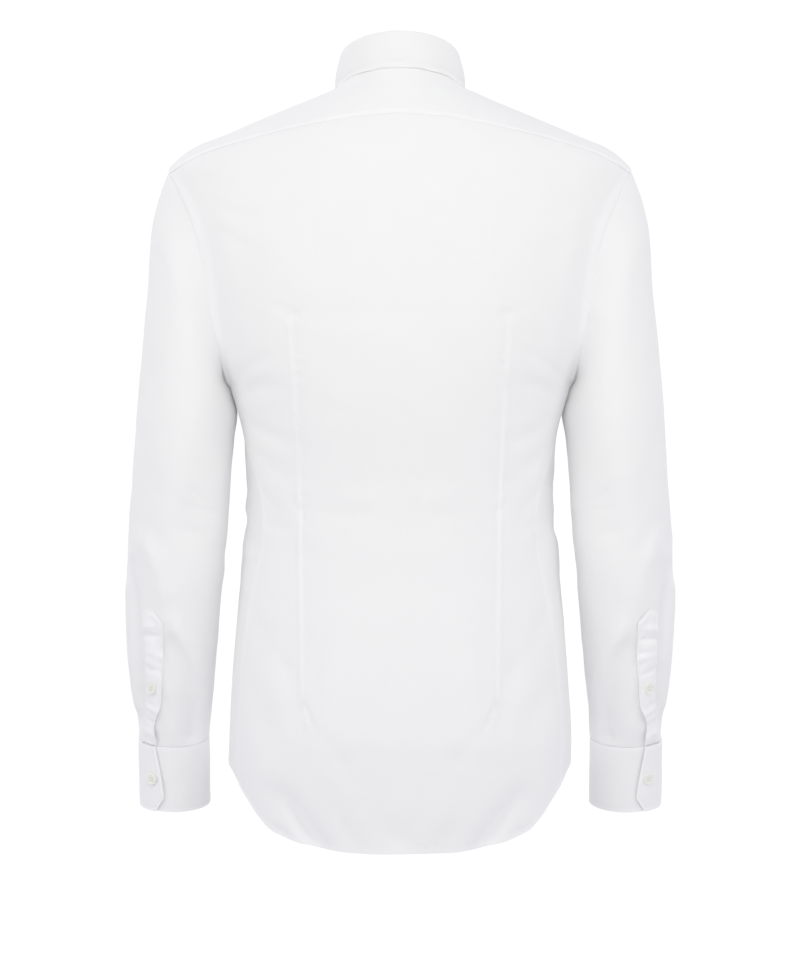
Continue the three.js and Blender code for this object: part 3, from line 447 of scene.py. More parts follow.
# %% [markdown]
# ## Creases and seams
#
# Pressed cotton shows few creases: a long one or two where the tail folds in, drag lines from the
# armholes and the darts, cross wrinkles at the waist and the elbows. Each is drawn as a soft trough or
# ridge along a line, all with different sizes. Those on the back are placed as they are seen from
# behind, x to the side and z up from the neck, so they fall where the eye finds them. The ones on the
# sides and the front are placed by their angle round the body. Fine random hills are added on top,
# stretched along the way that the cloth pulls.

# %% One crease, and all of a piece's creases
CAMERA_Y, CAMERA_Z = 3400.0, -390.0


def crease(u, v, u0, v0, u1, v1, width, depth, bow=0.0, kind="soft"):
    """How far one crease from u0, v0 to u1, v1 lifts the points at u, v, all in mm."""
    along_u, along_v = u1 - u0, v1 - v0
    length = np.hypot(along_u, along_v)
    t = np.clip(((u - u0) * along_u + (v - v0) * along_v) / length**2, 0, 1)
    normal_u, normal_v = -along_v / length, along_u / length
    bend = bow * 4 * t * (1 - t)
    off_u = u - u0 - t * along_u - bend * normal_u
    off_v = v - v0 - t * along_v - bend * normal_v
    away = np.hypot(off_u, off_v) / width
    signed = (off_u * normal_u + off_v * normal_v) / width
    fade = np.sin(math.pi * (0.1 + 0.8 * t)) ** 0.8
    if kind == "soft":
        form = np.exp(-away**2)
    elif kind == "sharp":
        form = np.exp(-away**1.1)
    elif kind == "roll":
        form = 0.8 * (1 - 1.1 * away**2) * np.exp(-away**2 / 1.3)
    else:
        form = signed * np.exp(-away**2) * 2.3
    return -depth * form * fade


def seen(p):
    near = 1 + p[..., 1] / CAMERA_Y
    return p[..., 0] * near, CAMERA_Z + (p[..., 2] - CAMERA_Z) * near


def seen_creases(p, rows, both_sides=True):
    x, z = seen(p)
    facing = smooth(outward_normals(p)[..., 1], -0.05, 0.3)
    lift = np.zeros(x.shape)
    for number, (x0, z0, x1, z1, width, depth, bow, kind) in enumerate(rows):
        for way in (1, -1) if both_sides else (1,):
            uneven = 1.0 if way > 0 else 0.84 + 0.05 * (number % 6)
            lift += crease(way * x, z, x0, z0, x1, z1, width, depth * uneven, bow, kind)
    return lift * facing


def angle_creases(angle, z, rows, half=1, per_degree=BODY_DEGREE):
    lift = np.zeros(np.shape(z))
    for number, (a0, z0, a1, z1, width, depth, bow, kind) in enumerate(rows):
        uneven = 1.0 if half > 0 else 0.8 + 0.07 * (number % 5)
        shift = 0 if half > 0 else 4 * (number % 4) - 6
        lift += crease(angle * per_degree, z, a0 * per_degree, z0 + shift, a1 * per_degree, z1 + shift,
                       width, depth * uneven, bow, kind)
    return lift


def noise(u, v, size_u, size_v, seed):
    """Smooth random hills, size_u by size_v mm each, the same on every run."""
    heights = np.random.default_rng(seed).uniform(-1, 1, (64, 64))
    x, y = u / size_u + 13.7, v / size_v + 29.3
    i, j = np.floor(x).astype(int), np.floor(y).astype(int)
    s, t = smooth(x - i, 0, 1), smooth(y - j, 0, 1)
    low = mix(heights[i % 64, j % 64], heights[(i + 1) % 64, j % 64], s)
    high = mix(heights[i % 64, (j + 1) % 64], heights[(i + 1) % 64, (j + 1) % 64], s)
    return mix(low, high, t)


# %% Where the body's creases lie
# Columns: x0, z0, x1, z1, width, depth, bow, kind. A negative depth is a ridge.
BACK_CREASES = [
    (112, -716, 89, -751, 4.5, 3.0, 2, "soft"), (126, -736, 108, -752, 5.5, 2.2, 0, "soft"),
    (60, -726, 44, -753, 14, 2.5, 3, "roll"), (10, -738, -14, -753, 16, 1.4, 2, "roll"),
    (122, -566, 100, -602, 11, 2.6, 0, "soft"), (146, -600, 128, -664, 15, 2.4, -4, "roll"),
    (60, -652, -48, -649, 14, -0.4, 3, "soft"), (90, -672, 30, -664, 10, 0.7, 4, "roll"),
    (105, -413, 96, -427, 3.0, 1.3, 0, "soft"), (106, -407, 99, -410, 3.5, -0.7, 0, "soft"),
    (101, -221, 109, -227, 5, 2.2, 0, "soft"), (108, -228, 132, -214, 7, 0.8, 3, "roll"),
    (92, -44, 90, -96, 3.2, 0.55, 0, "roll"), (88, -96, 82, -205, 3.8, 0.35, 2, "roll"),
    (178, -108, 160, -205, 9, -1.4, 4, "soft"), (160, -205, 150, -290, 10, -1.2, 2, "soft"),
    (186, -112, 150, -126, 9, 0.8, 4, "roll"), (190, -126, 146, -160, 9, 1.0, 5, "roll"),
    (164, -294, 128, -264, 8, 1.3, -4, "roll"), (158, -306, 116, -298, 10, 1.5, -5, "roll"),
    (150, -330, 106, -352, 10, 1.5, 4, "roll"), (148, -352, 110, -392, 9, 1.2, 3, "roll"),
    (146, -398, 118, -434, 7, 0.9, -4, "roll"), (144, -428, 112, -440, 5, 0.9, 3, "soft"),
    (150, -458, 126, -462, 9, 0.6, 2, "roll"), (70, -420, 20, -424, 12, 0.8, 3, "roll"),
    (62, -385, -10, -392, 14, 0.6, 5, "roll"), (20, -220, -84, -226, 15, 0.7, 3, "roll"),
    (96, -150, 40, -168, 16, 0.6, -4, "roll"), (152, -520, 132, -560, 10, 1.3, -3, "roll"),
    (80, -560, 84, -606, 8, 1.2, 2, "roll"), (88, -640, 50, -690, 11, 1.1, -5, "roll"),
    (58, -2, 30, -12, 7, 1.0, 2, "roll"), (64, -6, 52, -24, 6, 0.9, -2, "roll"),
]
YOKE_CREASES = [
    (92, -20, 90, -48, 3.2, 0.45, 0, "roll"), (62, -8, 44, -18, 6, 1.0, 2, "roll"),
    (70, -12, 62, -28, 6, 0.8, -2, "roll"), (40, -2, 14, -8, 6, 0.8, 2, "roll"),
    (170, -52, 196, -64, 9, 0.8, 2, "roll"), (120, -30, 142, -46, 10, 0.5, 2, "roll"),
]
# Columns: angle0, z0, angle1, z1, width, depth, bow, kind.
FRONT_CREASES = [
    (84, -430, 106, -446, 8, 2.0, 3, "roll"), (96, -318, 128, -352, 9, 2.2, 5, "roll"),
    (92, -336, 124, -392, 9, 1.9, -4, "roll"), (98, -360, 134, -430, 8, 1.8, 4, "roll"),
    (90, -402, 122, -424, 8, 2.2, 3, "roll"), (88, -424, 120, -436, 7, 2.0, -3, "roll"),
    (94, -446, 136, -452, 9, 1.6, 3, "roll"), (104, -500, 140, -520, 11, 1.4, -4, "roll"),
    (98, -560, 108, -664, 12, 1.8, 5, "roll"), (122, -620, 130, -712, 12, 2.0, -4, "roll"),
    (148, -600, 152, -730, 13, 1.7, 4, "roll"), (168, -640, 166, -738, 12, 1.2, 3, "roll"),
    (112, -130, 130, -190, 9, 1.7, 4, "roll"), (110, -170, 134, -250, 9, 1.8, -4, "roll"),
    (114, -230, 142, -280, 9, 1.5, 3, "roll"), (150, -70, 158, -150, 12, 1.1, 4, "roll"),
    (150, -280, 172, -300, 14, 0.9, 3, "roll"), (140, -180, 160, -214, 13, 0.9, -3, "roll"),
]
DART = table("z x", [(-228, 108), (-270, 105), (-330, 101), (-380, 98.5), (-425, 97), (-480, 96.3),
                     (-540, 95.5), (-600, 95), (-618, 95)])


def darts(p):
    """The fisheye darts: a narrow seam, taken in, that puckers a little at both ends."""
    x, z = seen(p)
    inside = smooth(-z, 226, 240) * (1 - smooth(-z, 608, 620))
    lift = np.zeros(np.shape(z))
    pucker = 0.5 + 0.5 * np.sin(z / 2.6 + 2 * np.sin(z / 11)) * (1 + 0.4 * np.sin(z / 17))
    busy = 0.45 * np.exp(-((z + 265) / 60) ** 2) + 0.5 * np.exp(-((z + 420) / 22) ** 2) + 0.1
    for way in (1, -1):
        away = way * x - follow(DART, "z", "x", z)
        lift -= 0.9 * inside * np.exp(-(away / 1.3) ** 2)
        lift += 1.2 * inside * np.exp(-((away - 3.4) / 2.2) ** 2)
        lift -= 1.3 * inside * busy * pucker * np.exp(-((away + 2.5) / 3.5) ** 2)
        lift += crease(way * x, z, 95, -611, 101, -628, 1.3, 2.1, 0.6)
        lift += crease(way * x, z, 95, -611, 84, -638, 1.4, 2.4, 0.8)
        lift += crease(way * x, z, 93, -622, 91, -642, 3.0, -1.0)
        lift += crease(way * x, z, 95, -590, 95, -614, 4.5, -1.2)
    return lift * smooth(outward_normals(p)[..., 1], 0, 0.3)


def dart_layers_and_highlight(p):
    """1 along the dart, where the cloth that it takes in lies folded behind it, and where a painted highlight stands
    for the light line along the dart.
    """
    x, z = seen(p)
    away = np.abs(x) - follow(DART, "z", "x", z)
    inside = smooth(-z, 226, 260) * (1 - smooth(-z, 590, 612)) * smooth(outward_normals(p)[..., 1], 0, 0.3)
    return 0.8 * inside * np.exp(-(((away - 2.4) / 1.5) ** 2))


def near_armpit(away, z):
    """Where the body's side and the sleeve lie close together, below the armhole."""
    return np.exp(-(away**2)) * smooth(-z, 290, 303) * (1 - smooth(-z, 318, 352))


def body_wrinkles(angle, z):
    u = angle * BODY_DEGREE
    away = np.abs((angle + 180) % 360 - 180)
    waist = np.exp(-((z + 425) / 70) ** 2) * smooth(away, 30, 75)
    tail = smooth(-z, 600, 700)
    lift = noise(u + 0.5 * z, z - 0.35 * u, 46, 15, 3) * (0.2 + 0.9 * waist)
    lift += noise(u, z, 60, 44, 5) * (0.45 + 0.8 * tail) + 1.3 * near_armpit((away - 90) / 22, z)
    return lift + noise(u - 0.4 * z, z, 22, 30, 8) * (0.1 + 0.3 * tail)


# %% Seam edges
def turned_down(distance, much=1.0, width=1.3):
    """A panel's edge turns down into its seam, at this distance from it in mm."""
    return -much * np.exp(-((distance / width) ** 2))


def felled(distance, start, end, much=0.4):
    """The flat ridge of a seam allowance that lies folded between two distances from an edge."""
    return much * smooth(distance, start - 0.5, start + 0.6) * (1 - smooth(distance, end - 0.6, end + 0.8))


def panel_edges(side, low, high, beside_armhole, under):
    """A body panel's edges: its side lies under its neighbour's where `under` is 1, or over it."""
    allowance = felled(side, -2, 6.6, 0.3) * (1 - under) * (1 - beside_armhole)
    band = 0.25 * felled(side, -2, 11.5, 1) + 1.5 * (1 - smooth(side, 1, 18)) * smooth(high, 6, 60)
    allowance = allowance + band * beside_armhole
    hem = 0.3 * np.exp(-(((low - 3.2) / 2.4) ** 2)) - 0.4 * np.exp(-(((low - 6.4) / 0.9) ** 2))
    tuck = under * (1 - beside_armhole)
    return turned_down(side, 0.25 + 0.4 * tuck, 1 + tuck) + turned_down(high, 0.65, 2.0) + allowance + hem


def seam_layers_and_highlight(distance, end):
    """1 beside a seam or hem, as far as its hidden allowance reaches, and 0 beyond: doubled cloth, and the band of
    painted highlight along the seam.
    """
    return 1 - smooth(distance, end - 0.8, end + 0.8)


def run_under(p, by, top=False, last=False):
    """Runs the grid's top row or last column on under its neighbour, by mm."""
    p = p.copy()
    if top:
        p[-1] += unit(p[-1] - p[-2]) * by
    if last:
        p[:, -1] += unit(p[:, -1] - p[:, -2]) * np.reshape(by, (-1, 1))
    return p


print("creases on the back:", 2 * len(BACK_CREASES), "on the fronts:", 2 * len(FRONT_CREASES))

# %% [markdown]
# ## Back and fronts
#
# The back is one panel from the yoke to the shirt tail, taken in by two fisheye darts, and the fronts
# are its pair, lapped at the centre, left over right. Their grids follow the same rule as the solids':
# rows run from the hem to the underarm and on to the top seam, and columns from the middle to the side.

# %% Places on the body panels
LOWER = 13 / 22
OUTER = 0.5
CLOTH = 0.5
TUCK = 2.0
BESIDE_ARMHOLE = (-306, -290)
HEM_EDGE, SIDE_SEAM_WIDTH, FRONT_BAND = 3.5, 6.6, 30


def panel_place(share, climb_all, on_back, middle, top):
    """Angle and height on a half panel, at shares of its width and height."""
    hem_side = side_angle(follow(HEM, "angle", "z", np.array(HEM_SEAM_ANGLE)), on_back)
    hem_z = follow(HEM, "angle", "z", mix(middle(np.array(-740.0)), hem_side, share))
    z_low = mix(hem_z, ARMHOLE_BOTTOM[1], np.clip(climb_all / LOWER, 0, 1))
    angle_low = mix(middle(z_low), side_angle(z_low, on_back), share)
    climb = np.clip((climb_all - LOWER) / (1 - LOWER), 0, 1)
    end = YOKE_END_BACK if on_back else YOKE_END_FRONT
    edge_z, end_z = armhole(mix(180, end, climb))[..., 2], armhole(np.array(end))[2]
    edge_share = (edge_z - ARMHOLE_BOTTOM[1]) / (end_z - ARMHOLE_BOTTOM[1])
    top_z, top_angle = top[..., 2], plan_angle(top)
    z_up = mix(ARMHOLE_BOTTOM[1], top_z, mix(climb, edge_share, share**4))
    top_share = (top_angle - middle(top_z)) / (side_angle(top_z, on_back) - middle(top_z))
    spread = mix(share, top_share, climb**2.5)
    angle_up = mix(middle(z_up), side_angle(z_up, on_back), spread)
    low = climb_all <= LOWER
    return np.where(low, angle_low, angle_up), np.where(low, z_low, z_up)


# %% Back
V, U = np.meshgrid(steps(236, 720), steps(150, 470), indexing="ij")
share = 2 * U - 1
half_angle, height = panel_place(np.abs(share), V, True, lambda z: 0 * z, back_yoke_seam(np.abs(share)))
angle = np.sign(share) * half_angle
base = even_out(body_point(angle, height), 8)
left, right, low, high = edge_distance(base)
side = np.minimum(left, right)
lift = seen_creases(base, BACK_CREASES) + darts(base) + body_wrinkles(angle, height)
beside_armhole = smooth(height, *BESIDE_ARMHOLE)
lift = lift * smooth(side, 0, 18) * smooth(high, 0, 8) + panel_edges(side, low, high, beside_armhole, 0)
lift += 0.45 * noise(left, low, 16, 900, 21) * np.exp(-low / 9)
back_points = run_under(raised(base, lift + OUTER), TUCK, top=True)
# Whiter bands: seam allowances behind the cloth, and painted highlight along armhole, side seam, hem and darts; beside
# the armhole the band is wider than the allowance.
armhole_layers_and_highlight = (1 - smooth(side, 7, 16)) * beside_armhole
side_layers_and_highlight = 0.5 * seam_layers_and_highlight(side, SIDE_SEAM_WIDTH) * (1 - beside_armhole)
back_layers_and_highlight = np.maximum(armhole_layers_and_highlight + side_layers_and_highlight, 0.8 * seam_layers_and_highlight(low, HEM_EDGE))
back_layers_and_highlight = np.maximum(back_layers_and_highlight, dart_layers_and_highlight(base))
back = cloth("back_cloth", back_points, CLOTH, poplin, layers_and_highlight=back_layers_and_highlight)

# %% Left front, which laps over, and right front
V, U = np.meshgrid(steps(230, 700), steps(96, 255), indexing="ij")
NECK_END = 180 + math.degrees(OVERLAP_WIDTH / (NECK_DEPTH - NECK_Y))
on_neck = neck_seam(mix(NECK_YOKE_END, NECK_END, 1 - 2 * np.minimum(U, 0.5)))
on_yoke = front_yoke_seam(2 * np.maximum(U, 0.5) - 1)
top = np.where((U < 0.5)[..., None], on_neck, on_yoke)
angle, height = panel_place(U, V, False, overlap_angle, top)
front_points, front_layers_and_highlight = {}, {}
for half in (1, -1):
    base = body_point(angle, height)
    base = even_out(base + body_normal(angle, height) * (half * overlap_lift(angle, height))[..., None], 8)
    middle, side, low, high = edge_distance(base)
    lift = angle_creases(angle, height, FRONT_CREASES, half) + body_wrinkles(angle * half, height)
    lift = lift * smooth(side, 0, 18) * smooth(high, 0, 10) * smooth(middle, 20, 44)
    lift += panel_edges(side, low, high, smooth(height, *BESIDE_ARMHOLE), 1)
    lift += 0.3 * np.exp(-(((middle - 1.5) / 2) ** 2))
    lift += 0.5 * noise(middle, low, 16, 900, 31) * np.exp(-low / 9)
    laid = run_under(raised(base, lift + OUTER), TUCK, top=True)
    laid = run_under(laid, TUCK * (1 - smooth(height[:, -1], -306, -298)), last=True)
    front_points[half] = laid * (half, 1, 1)
    # Whiter hem and front band: doubled cloth, and painted highlight along their edges.
    front_layers_and_highlight[half] = np.maximum(0.8 * seam_layers_and_highlight(low, HEM_EDGE), seam_layers_and_highlight(middle, FRONT_BAND))
front_left = cloth("front_left_cloth", front_points[1], CLOTH, poplin, layers_and_highlight=front_layers_and_highlight[1])
front_right = cloth("front_right_cloth", front_points[-1], CLOTH, poplin, layers_and_highlight=front_layers_and_highlight[-1])

# %% [markdown]
# ## Yoke
#
# The yoke is the piece over the shoulders that carries the rest. Its back edge laps over the top of the
# back and is stitched close to the fold, so it stands up by a layer of cloth.

# %% Yoke
V, U = np.meshgrid(steps(44, 110), steps(160, 480), indexing="ij")
reach_out = np.abs(2 * U - 1) * 15
along, past = np.minimum(reach_out, 12) / 12, np.maximum(reach_out - 12, 0) / 3
on_back_seam = reach_out <= 12
on_armhole = armhole(mix(YOKE_END_BACK, -YOKE_END_FRONT, past))
outer = np.where(on_back_seam[..., None], back_yoke_seam(along), on_armhole)
inner = neck_seam(np.where(on_back_seam, NECK_CORNER * along, mix(NECK_CORNER, NECK_YOKE_END, past)))
base = inner + (outer - inner) * (1 - V)[..., None]
base[1:-1, :, 2] = shoulder_height(base[1:-1, :, 0], base[1:-1, :, 1])
base[..., 0] *= np.sign(U - 0.5)
base = even_out(base, 4)
left, right, low, high = edge_distance(base)
side = np.minimum(left, right)
lift = turned_down(low, 0.3, 0.7) + 0.2 * np.exp(-low / 14) + felled(low, 0.6, 5.5, 0.4)
lift += turned_down(high, 0.8)
lift += turned_down(side, 0.3, 0.8) + 0.2 * np.exp(-side / 14) + felled(side, 0.6, 5.5, 0.2)
lift += 0.6 * noise(left + right * 0.2, low, 6.5, 30, 14) * np.exp(-low / 5) * smooth(low, 0, 1.5)
hills = 0.5 * noise(base[..., 0], base[..., 1] + base[..., 2], 44, 26, 12) + seen_creases(base, YOKE_CREASES)
lift += hills * smooth(side, 0, 14) * smooth(low, 4, 18) * smooth(high, 2, 14)
yoke_points = raised(base, lift + OUTER)
# Whiter band along the yoke's seams, broken up by noise: doubled cloth, and painted highlight for the light line along
# the lapped edge.
yoke = cloth("yoke_cloth", yoke_points, CLOTH, poplin,
             layers_and_highlight=seam_layers_and_highlight(np.minimum(low, side), 6.0) * (0.8 + 0.35 * noise(left, low, 11, 7, 15)))

# %% [markdown]
# ## Sleeves
#
# A sleeve is a tube that starts at the slanted armhole and ends level at the cuff, bent a little at the
# elbow. Rings from the armhole to the cuff give its shape. Its creases come from the bend: a plane that
# turns in below the armpit, a ridge at the elbow and folds that run down into the cuff.

# %% The sleeve's rings
SLEEVE = table("z x inner_z inner_x centre back front lean", [
    (-82, 230.5, -298, 168, 0, 62, 52, 0), (-96, 236, -303, 170.4, 0, 64, 56, 0),
    (-112, 241, -309, 169.6, 0, 66, 59, 0), (-132, 245.5, -316, 168.4, 1, 67.5, 62, 0),
    (-160, 248.8, -325, 166.6, 2, 68.5, 64, 0), (-200, 251.6, -339, 166, 4, 68.5, 65, 0),
    (-245, 255.5, -357, 166.8, 6, 67.5, 65.5, 0), (-290, 259.3, -378, 168.8, 8, 66.5, 65.5, 0),
    (-335, 262.8, -405, 170.6, 8, 65, 65, 0), (-385, 266.3, -439, 173, 5, 63, 63, 2),
    (-435, 270, -475, 176.4, 0, 61, 61, 5), (-480, 272.8, -510, 180, -7, 59, 59, 8),
    (-520, 273.6, -542, 182.6, -14, 57, 57, 10), (-560, 272, -574, 185.3, -21, 53, 53, 12),
    (-595, 269, -603, 188.8, -28, 48, 48, 12), (-624, 265, -627, 191.4, -34, 43.5, 43.5, 12),
    (-650, 262, -650, 193.6, -40, 37.5, 37.5, 12),
])
SLEEVE_TOP, SLEEVE_END = -82.0, -650.0
SLEEVE_FOLDS = [
    # angle0, z0, angle1, z1, width, depth
    (41, -500, 42, -612, 9, 3.5), (18, -500, 20, -612, 11, -2.5), (98, -540, 146, -606, 12, -3),
    (88, -560, 128, -640, 15, 4.5), (150, -300, 112, -440, 26, 6), (52, -452, 80, -502, 10, -2.5),
    (290, -380, 245, -430, 15, 5), (300, -560, 250, -632, 15, 4), (215, -470, 240, -400, 14, 4),
]
PLACKET = table("z outer inner lift", [
    (-505, 57, 82, 0), (-518, 57, 82.5, 0.2), (-547, 56, 81.5, 0.5), (-577, 53.5, 79.5, 0.8),
    (-602, 49.5, 77, 1.4), (-614, 46, 70.5, 2.6), (-626, 41, 63.5, 1.6), (-640, 36.5, 66, 2.2),
    (-650, 34, 61.5, 1.2),
])


def sleeve_point(angle, outer_z):
    a = np.radians(angle)
    s, c = np.sin(a), np.cos(a)
    at = {name: follow(SLEEVE, "z", name, outer_z) for name in SLEEVE if name != "z"}
    centre = points((at["x"] + at["inner_x"]) / 2, at["centre"], (outer_z + at["inner_z"]) / 2)
    depth, lean = np.where(s >= 0, at["back"], at["front"]) * s, np.radians(at["lean"])
    near_armhole = 1 - smooth(SLEEVE_TOP - outer_z, 0, 60)
    scoop = -(s**2) * (np.where(s >= 0, 10.0, 17.0) + 11 * c) * near_armhole
    arm = points((at["x"] - at["inner_x"]) / 2 * c + scoop, depth * np.cos(lean),
                 (outer_z - at["inner_z"]) / 2 * c - depth * np.sin(lean))
    fold = fold_depth(SLEEVE_FOLDS, SLEEVE_DEGREE, angle % 360, centre[..., 2] + arm[..., 2])
    fade = smooth(outer_z, SLEEVE_END, SLEEVE_END + 12)
    length = np.linalg.norm(arm, axis=-1)
    return centre + arm * ((length + fold * fade) / length)[..., None]


def sleeve_angle(column, outer_z):
    """Columns 0 to 21 go once round from the back end of the yoke, and 1 to 3 run into the placket."""
    start = np.interp(column, [0, 9, 18, 21], [YOKE_END_BACK, 180, 360 - YOKE_END_FRONT, 360 + YOKE_END_BACK])
    low = np.minimum(outer_z, -505)
    outer, inner = follow(PLACKET, "z", "outer", low), follow(PLACKET, "z", "inner", low)
    knots = [-YOKE_END_FRONT, 32, 50.5, 69, 180, 360 - YOKE_END_FRONT, 392]
    ends = [-YOKE_END_FRONT, outer, (outer + inner) / 2, inner, 180, 360 - YOKE_END_FRONT, 360 + outer]
    end = sum(np.interp(start, knots, row) * value for row, value in zip(np.eye(7), ends))
    return mix(start, end, smooth(-outer_z, -SLEEVE_TOP, 505))


# %% Where the sleeve's creases lie, seen from behind and by angle on its front
SLEEVE_CREASES = [
    (200, -268, 222, -430, 22, -1.8, -4, "soft"), (176, -282, 166, -318, 8, 2.6, 0, "soft"),
    (214, -396, 184, -412, 6, 0.8, 3, "roll"), (208, -418, 180, -426, 4.5, 1.0, -2, "soft"),
    (224, -436, 190, -446, 8, 0.6, 2, "roll"), (218, -372, 196, -384, 9, 0.7, -3, "roll"),
    (255, -446, 235, -488, 6, -1.5, 3, "soft"), (248, -440, 222, -470, 9, 0.7, 3, "roll"),
    (267, -474, 259, -586, 5, 5.0, 1, "soft"), (259, -580, 261, -642, 5, 4.4, -1, "soft"),
    (233, -530, 214, -562, 8, 1.6, 2, "step"), (214, -562, 196, -604, 8, 1.6, -2, "step"),
    (237, -604, 220, -640, 4.2, 1.9, 2, "soft"), (222, -643, 199, -652, 4.5, 1.8, 1, "soft"),
    (229, -84, 213, -112, 4.5, 1.4, 1, "soft"), (242, -120, 236, -190, 9, 0.9, 3, "roll"),
    (236, -170, 240, -250, 12, 0.7, -3, "roll"), (256, -236, 246, -300, 10, 0.9, 3, "roll"),
    (216, -300, 244, -360, 12, 0.8, 4, "roll"), (262, -340, 246, -400, 9, 1.0, -3, "roll"),
    (206, -470, 190, -530, 9, 1.2, 3, "roll"), (212, -560, 204, -630, 7, 1.5, 3, "roll"),
    (246, -520, 240, -560, 6, 1.0, 2, "roll"), (204, -610, 208, -648, 5, 1.4, 2, "roll"),
]
SLEEVE_FRONT_CREASES = [
    (300, -150, 330, -210, 10, 1.4, 3, "roll"), (240, -330, 300, -370, 9, 1.8, 4, "roll"),
    (228, -360, 290, -420, 9, 1.9, -4, "roll"), (222, -400, 280, -430, 8, 1.8, 3, "roll"),
    (216, -430, 276, -460, 8, 1.6, -3, "roll"), (232, -470, 300, -490, 9, 1.5, 4, "roll"),
    (330, -380, 300, -470, 10, 1.3, 3, "roll"), (262, -540, 286, -636, 8, 1.8, 3, "roll"),
    (316, -560, 306, -640, 8, 1.4, -3, "roll"), (230, -560, 236, -640, 8, 1.6, 3, "roll"),
    (196, -340, 226, -380, 9, 1.6, 3, "roll"), (340, -250, 330, -330, 12, 1.0, -3, "roll"),
]


def sleeve_lift(p, angle, outer_z, half):
    z = p[..., 2]
    u = angle * SLEEVE_DEGREE
    lift = seen_creases(p, SLEEVE_CREASES, False) * (1 if half > 0 else 0.88)
    lift += angle_creases(angle % 360, z, SLEEVE_FRONT_CREASES, half, SLEEVE_DEGREE)
    elbow, wrist = np.exp(-(((z + 470) / 60) ** 2)), smooth(-z, 560, 640)
    shift = 0 if half > 0 else 300
    lift += noise(u * 0.9 + 0.3 * z + shift, z, 26, 17, 41) * (0.25 + 0.6 * elbow + 0.3 * wrist)
    lift += noise(u + shift, z, 40, 60, 42) * 0.7
    lift += noise(u + shift, z, 9, 70, 43) * 0.9 * np.exp(-(outer_z - SLEEVE_END) / 16)
    lift += 4.4 * near_armpit((angle - 180) / 36, z)
    return lift * smooth(SLEEVE_TOP - outer_z, 1, 14) * smooth(outer_z, SLEEVE_END, SLEEVE_END + 6)


# %% Sleeves
V, U = np.meshgrid(steps(196, 570), np.linspace(0, 21, 132, endpoint=False), indexing="ij")
outer_z = mix(SLEEVE_END, SLEEVE_TOP, V)
sleeve_turn = sleeve_angle(U, outer_z)
sleeve_base = sleeve_point(sleeve_turn, outer_z)
sleeve_points, sleeves = {}, {}
for half, side in ((1, "left"), (-1, "right")):
    low, high = edge_distance(sleeve_base)[2:]
    lift = sleeve_lift(sleeve_base, sleeve_turn, outer_z, half)
    turn = (sleeve_turn + 180) % 360 - 180
    beside = smooth(turn, -22, 20) * (1 - smooth(turn, 27, 34))
    shoulder = 0.35 + 0.35 * (1 - smooth(np.abs(turn), 18, 40))
    lift += turned_down(low, 0.55, 1.2) + turned_down(high, shoulder, 1.8) + 2.3 * beside * np.exp(-low / 14)
    lift += 0.9 * np.exp(-high / 9) * smooth(np.abs(turn), 30, 60)
    underarm = np.abs((sleeve_turn - 181) * SLEEVE_DEGREE)
    lift -= 0.7 * np.exp(-((underarm / 1.6) ** 2)) * smooth(low, 0, 10) * smooth(high, 0, 10)
    laid = run_under(raised(sleeve_base, lift + OUTER, True), TUCK, top=True)
    laid = run_under(laid[::-1], TUCK, top=True)[::-1]
    sleeve_points[half] = laid * (half, 1, 1)
    sleeves[half] = cloth(f"sleeve_{side}_cloth", sleeve_points[half], CLOTH, poplin, closed=True)

# %% [markdown]
# ## Sleeve plackets and cuffs
#
# The placket is the folded strip over the slit that lets the hand through. It ends above in a small
# pointed house, and its free edge lifts off the sleeve. The cuff is a doubled band that laps over
# itself there, with its lower corner cut off.

# %% Plackets, with the creases across them by their distances from the outer edge and the cuff
PLACKET_CREASES = [
    (-3, 128, 18, 133, 2.8, -1.3, 1, "soft"), (-3, 119, 24, 122, 3.0, 1.5, 1, "soft"),
    (4, 104, 30, 96, 3.6, -1.6, 2, "soft"), (-4, 92, 22, 84, 3.2, 1.2, -1, "soft"),
    (-4, 62, 16, 70, 3.5, 0.8, 1, "soft"), (-3, 45, 30, 36, 3.4, -1.7, 2, "soft"),
    (-4, 33, 22, 26, 3.0, 1.4, -1, "soft"), (-2, 19, 30, 9, 3.0, -1.4, 1, "soft"),
    (-4, 8, 18, 3, 2.4, 1.2, 0, "soft"),
]
V, U = np.meshgrid(steps(110, 150, (0.5, 1.1, 1.8)), steps(26, 22, (0.5, 1.1, 1.8)), indexing="ij")
top = -500 - 8 * np.abs(2 * U - 0.75) ** 1.2
outer_z = mix(SLEEVE_END + 1.5, top, V)
turn = sleeve_angle(1 + 2 * U, outer_z)
base = sleeve_point(turn, outer_z)
placket_points, plackets = {}, {}
for half, side in ((1, "left"), (-1, "right")):
    outer, inner, low, high = edge_distance(base)
    lift = OUTER + 1.5 + sleeve_lift(base, turn, outer_z, half) * 0.8
    lift += follow(PLACKET, "z", "lift", outer_z) * U**3
    edge = np.minimum(np.minimum(outer, inner), high)
    lift += 0.3 * np.exp(-edge / 0.9) - 0.45 * np.exp(-(((edge - 2) / 0.7) ** 2))
    rumpled = 0.9 * noise(outer + 0.3 * low, low, 15, 8, 51) + 0.4 * noise(outer, low, 7, 5, 52)
    lift += rumpled * smooth(edge, 0, 4)
    for u0, v0, u1, v1, width, depth, bow, kind in PLACKET_CREASES:
        shift = 0 if half > 0 else 3
        lift += crease(outer, low + shift, u0, v0, u1, v1, width, 1.35 * depth, bow, kind)
    lift -= (0.3 + 0.7 * U) * np.exp(-low / 1.5)
    placket_points[half] = raised(base, lift) * (half, 1, 1)
    # The whole placket is made whiter: its doubled cloth, and painted highlight where it is lit brighter than the
    # sleeve.
    plackets[half] = cloth(f"sleeve_placket_{side}_cloth", placket_points[half], 1.0, poplin, both=0.3,
                           layers_and_highlight=0.6)

